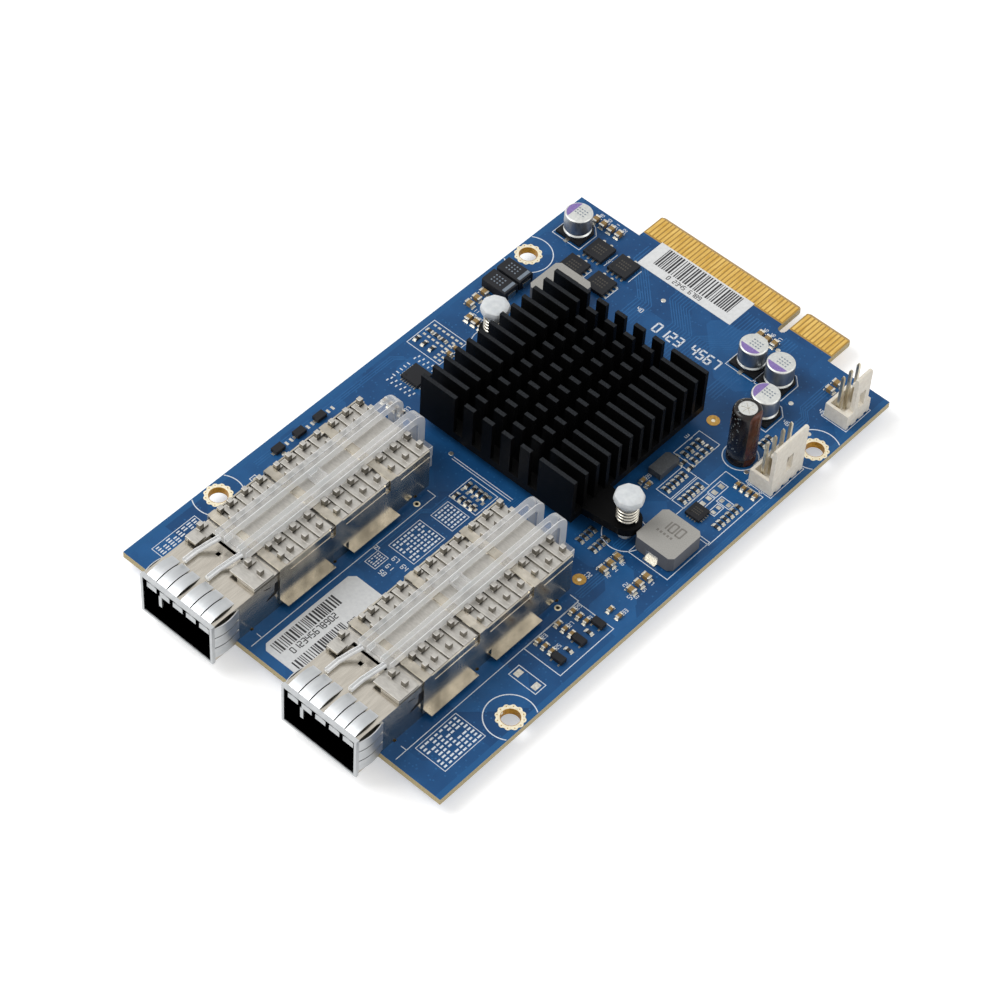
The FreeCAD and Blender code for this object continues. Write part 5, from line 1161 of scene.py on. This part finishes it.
def light_pipes():
    """Clear light pipes: two flat bars bending down at the rear, cross bridges and two round front rods."""
    thick, width, bend, count = 2.1, 2.5, 3.4, 10
    half = width / 2
    bars, rod_starts = (-3.6, 2.3), (-5.5, 0.7)
    start, bridge, foot = FRONT + 8.6, FRONT + 31.4, TOP + 0.85
    r = 0.62
    tip_z = roof_z + r + 0.12
    for side in SIDES:
        name = "light_pipe_" + side
        high = span(name)[1]
        centre = cage_middle[side]
        top, rear = high.z, high.y
        bottom = top - thick
        bm = bmesh.new()
        outer, inner = ([(rear - bend + reach * math.sin(a), top - bend + reach * math.cos(a))
                         for a in (math.pi / 2 * i / count for i in range(count + 1))]
                        for reach in (bend, bend - thick))
        outline = [(start, bottom), (start, top)] + outer + [(rear, foot), (rear - thick, foot)] + inner[::-1]
        for bar in bars:
            skin(bm, [[(x, y, z) for y, z in outline] for x in (centre + bar - half, centre + bar + half)])
        left_bar, right_bar = (centre + bar for bar in bars)
        x0, x1, x2 = left_bar + half, right_bar - half, right_bar + half
        box(bm, x0, x1, start, start + 2.3, bottom + 0.05, top - 0.4)
        box(bm, x0, x1, bridge, bridge + 2.8, bottom + 0.05, top - 0.5)
        box(bm, x0, x1, rear - 1.9, rear - 0.7, TOP + 3.2, TOP + 6.2)
        box(bm, x2, x2 + 2.9, rear - 1.9, rear - 0.7, TOP + 3.2, TOP + 6.1)
        box(bm, x2 + 1.65, x2 + 2.85, rear - 1.8, rear - 0.75, TOP + 0.02, TOP + 3.2)
        rods = bmesh.new()
        # Each rod runs back along the roof, then climbs and swings over to the underside of its bar.
        route = ((0.0, 0.95, tip_z), (0.0, 2.6, tip_z), (0.0, 4.2, tip_z), (0.12, 5.0, tip_z + 0.12),
                 (0.5, 6.7, (tip_z + bottom + r) / 2 + 0.15), (0.9, 8.2, bottom + r + 0.05),
                 (1.0, 8.75, bottom + r + 0.15))
        for rod, bar in zip(rod_starts, bars):
            path = [Vector((centre + rod + (bar - rod) * share, FRONT + y, z)) for share, y, z in route]
            tube(rods, path, r, 16)
        piece("light_pipe_bars_" + side, bm, "clear_polycarbonate", (name,), 0.2,
              segments=3)
        piece("light_pipe_rods_" + side, rods, "clear_polycarbonate", smooth=True)


def plain_bars(draw, start, end):
    """Start and thickness of each bar in a plain bar group."""
    while start < end:
        thick = draw.choice((0.2, 0.2, 0.34, 0.46))
        yield start, thick
        start += thick + draw.choice((0.2, 0.26, 0.42))


def label_print():
    """Plain bar groups and counting digits on both labels."""
    bm = bmesh.new()
    z0 = span("port_label")[1].z
    z1 = z0 + 0.01
    draw = random.Random(3)
    for front_left, rear_right in (((36.7, 3.6), (39.6, 21.0)), ((42.6, 3.4), (45.0, 17.0))):
        x0, start = spot(*front_left)
        x1, end = spot(*rear_right)
        for y, thick in plain_bars(draw, start, end):
            box(bm, x0, x1, y, y + thick, z0, z1)
    plain_digits(bm, "012345678902", *spot(41.4, 5.5), 1.35, z0, z1, 90)
    plain_digits(bm, "023", *spot(44.6, 17.8), 1.0, z0, z1, 90)
    low, high = span("rear_label")
    z0, z1 = high.z, high.z + 0.01
    for x, thick in plain_bars(draw, low.x + 2.6, high.x - 2.2):
        box(bm, x, x + thick, low.y + 2.3, high.y - 0.45, z0, z1)
    plain_digits(bm, "0 2345 6789", low.x + 7.4, low.y + 0.75, 1.1, z0, z1)
    piece("label_bars", bm, "label_ink")


def hole_details():
    """Lobed tin rings of the mounting holes with small plated dots, and the gold walls of the holes."""
    rings = bmesh.new()
    walls = bmesh.new()
    dots = bmesh.new()
    lobes, bore, face = 12, 2.06, TOP + 0.045
    dot_reach = hole_ring_radius - 0.45
    for x, y in hole_places:
        outer = []
        inner = []
        for i in range(lobes * 8):
            a = 2 * math.pi * i / (lobes * 8)
            r = hole_ring_radius - 0.3 * (0.5 - 0.5 * math.cos(lobes * a)) ** 1.5
            outer.append((x + r * math.cos(a), y + r * math.sin(a)))
            inner.append((x + bore * math.cos(a), y + bore * math.sin(a)))
        skin(rings, [[(px, py, z) for px, py in edge]
                     for edge, z in ((outer, TOP), (outer, face), (inner, face), (inner, TOP))], False)
        lathe(walls, [(1.99, 0.02), (1.96, 0.02), (1.96, TOP + 0.04), (2.08, TOP + 0.04)], x, y, 40, False)
        for i in range(lobes):
            a = 2 * math.pi * i / lobes
            lathe(dots, [(0.13, face), (0.11, TOP + 0.055)], x + dot_reach * math.cos(a),
                  y + dot_reach * math.sin(a), 10)
    piece("lobed_hole_rings", rings, "tinned_ring", ("mounting_hole_rings",), smooth=True)
    piece("plated_hole_walls", walls, "hole_wall", smooth=True)
    # The via dots take the hole-wall finish, the painted shade of small plated holes.
    piece("ring_via_dots", dots, "hole_wall")
    fills = bmesh.new()
    for low, high in islands("test_point_rings"):
        lathe(fills, [(0.5, TOP), (0.42, TOP + 0.03), (0.15, TOP + 0.07)], *middle_of(low, high), 20)
    piece("test_point_tin", fills, "tinned_ring", smooth=True)


# ---------------------------------------------------------------- dress the frame
carried = {
    "circuit_board": ("board_laminate", 0.05), "edge_contacts": ("contact_gold", 0.02),
    "test_point_rings": ("test_ring_gold", 0.02), "port_leds": ("led_resin", 0.1),
    "controller_chip": ("chip_carrier", 0.1), "thermal_pad": ("thermal_pad", 0.04),
    "main_heat_sink": ("black_anodised", 0.1), "power_inductors": ("inductor_ferrite", 0.25),
    "inductor_terminals": ("tinned_copper", 0.05), "polymer_capacitor_seats": ("black_moulding", 0.1),
    "polymer_capacitor_terminals": ("tinned_copper", 0.03), "radial_capacitor_leads": ("tinned_copper", 0.04),
    "power_transistors": ("black_epoxy", 0.08), "power_transistor_leads": ("tinned_copper", 0.04),
    "tantalum_capacitors": ("black_epoxy", 0.12), "tantalum_terminals": ("tinned_copper", 0.05),
    "fan_header_4pin": ("ivory_nylon", 0.12), "fan_header_3pin": ("ivory_nylon", 0.12),
    "fan_header_pins": ("pin_brass", 0.1), "solder_joints": ("solder", 0.12),
    "power_driver_chip": ("black_epoxy", 0.07), "monitor_chip": ("black_epoxy", 0.07),
    "chip_leads": ("tinned_copper", 0.02), "oscillator": ("oscillator_lid", 0.1),
    "small_transistors": ("black_epoxy", 0.07), "small_transistor_leads": ("tinned_copper", 0.03),
    "small_diodes": ("black_epoxy", 0.07), "small_diode_leads": ("tinned_copper", 0.03),
    "port_label": ("white_label", 0.0), "rear_label": ("silver_label", 0.0),
}
for side in SIDES:
    carried["cage_" + side] = ("nickel_sheet", 0.1)
    carried["host_connector_" + side] = ("black_moulding", 0.1)
    carried["sink_clip_" + side] = ("clip_steel", 0.1)
for node_name, (finish_name, bevel) in carried.items():
    carry_over(node_name, finish_name, bevel)

hole_details()
board_print()
bare_pads()
ringed_holes()
tracks()
ended_chips("big_ceramic_capacitors", "capacitor_ceramic", 0.08)
ended_chips("small_ceramic_capacitors", "capacitor_ceramic", 0.06)
ended_chips("chip_resistors", "resistor_ceramic", 0.04)
package_marks()
polymer_cans()
radial_capacitor()
push_pins()
collars()
host_contacts()
cage_sinks()
clip_rails()
side_windows()
light_pipes()
label_print()


# ---------------------------------------------------------------- studio
def background_rays(tree):
    """One for rays that show the plain background: seen, mirrored or refracted."""
    path = add(tree, "ShaderNodeLightPath")
    seen = path["Is Camera Ray"]
    for other in ("Is Glossy Ray", "Is Transmission Ray"):
        seen = add(tree, "ShaderNodeMath", {"operation": "MAXIMUM"}, {0: seen, 1: path[other]})[0]
    return seen


def studio():
    """Pale floor, white backdrop, one broad key lamp with a weaker fill, and the camera."""
    floor_mesh = bpy.data.meshes.new("studio_floor")
    half, gap = 1.6, 0.0002
    z = cad_low.z - gap
    corners = [(-half, -half, z), (half, -half, z), (half, half, z), (-half, half, z)]
    floor_mesh.from_pydata(corners, [], [(0, 1, 2, 3)])
    floor = bpy.data.objects.new("studio_floor", floor_mesh)
    bpy.context.scene.collection.objects.link(floor)
    material = bpy.data.materials.new("pale_studio_floor")
    material.use_nodes = True
    tree = material.node_tree
    tree.nodes.clear()
    seen = background_rays(tree)
    glow = add(tree, "ShaderNodeMath", {"operation": "MULTIPLY", 1: 0.45}, {0: seen})[0]
    lit = add(tree, "ShaderNodeEmission", {"Color": (1, 1, 1, 1)}, {"Strength": glow})[0]
    matt = add(tree, "ShaderNodeBsdfDiffuse", {"Color": tint("#e6e6e6")})[0]
    both = add(tree, "ShaderNodeAddShader", links={0: matt, 1: lit})[0]
    add(tree, "ShaderNodeOutputMaterial", links={"Surface": both})
    floor_mesh.materials.append(material)

    world = bpy.data.worlds.new("soft_white_room")
    bpy.context.scene.world = world
    world.use_nodes = True
    tree = world.node_tree
    tree.nodes.clear()
    seen = background_rays(tree)
    strength = add(tree, "ShaderNodeMapRange", {"To Min": 0.5, "To Max": 1.0}, {"Value": seen})[0]
    back = add(tree, "ShaderNodeBackground", {"Color": (1, 1, 1, 1)}, {"Strength": strength})[0]
    add(tree, "ShaderNodeOutputWorld", links={"Surface": back})

    # Each lamp: name, place, side and power.
    lamps = (("key_lamp", (-0.45, -0.35, 0.75), 0.55, 5.0), ("fill_lamp", (0.6, 0.35, 0.5), 0.5, 1.2))
    for name, place, size, power in lamps:
        data = bpy.data.lights.new(name, "AREA")
        data.shape = "SQUARE"
        data.size = size
        data.energy = power
        lamp = bpy.data.objects.new(name, data)
        lamp.location = place
        lamp.rotation_mode = "QUATERNION"
        lamp.rotation_quaternion = (-Vector(place)).to_track_quat("-Z", "Y")
        bpy.context.scene.collection.objects.link(lamp)

    data = bpy.data.cameras.new("catalogue_camera")
    data.sensor_width = 36.0
    data.lens = 116.57
    data.clip_start, data.clip_end = 0.05, 5.0
    camera = bpy.data.objects.new("catalogue_camera", data)
    azimuth, elevation, roll = (math.radians(v) for v in (38.763, 50.459, 4.193))
    distance = 0.64714
    aim = Vector((1.97, -8.20, TOP)) * MM
    back_way = Vector((math.sin(azimuth) * math.cos(elevation), -math.cos(azimuth) * math.cos(elevation),
                       math.sin(elevation)))
    camera.location = aim + back_way * distance
    turn = (-back_way).to_track_quat("-Z", "Y").to_matrix().to_4x4() @ Matrix.Rotation(roll, 4, "Z")
    camera.rotation_mode = "QUATERNION"
    camera.rotation_quaternion = turn.to_quaternion()
    bpy.context.scene.collection.objects.link(camera)
    bpy.context.scene.camera = camera
    bpy.context.scene.view_settings.view_transform = "Standard"


studio()
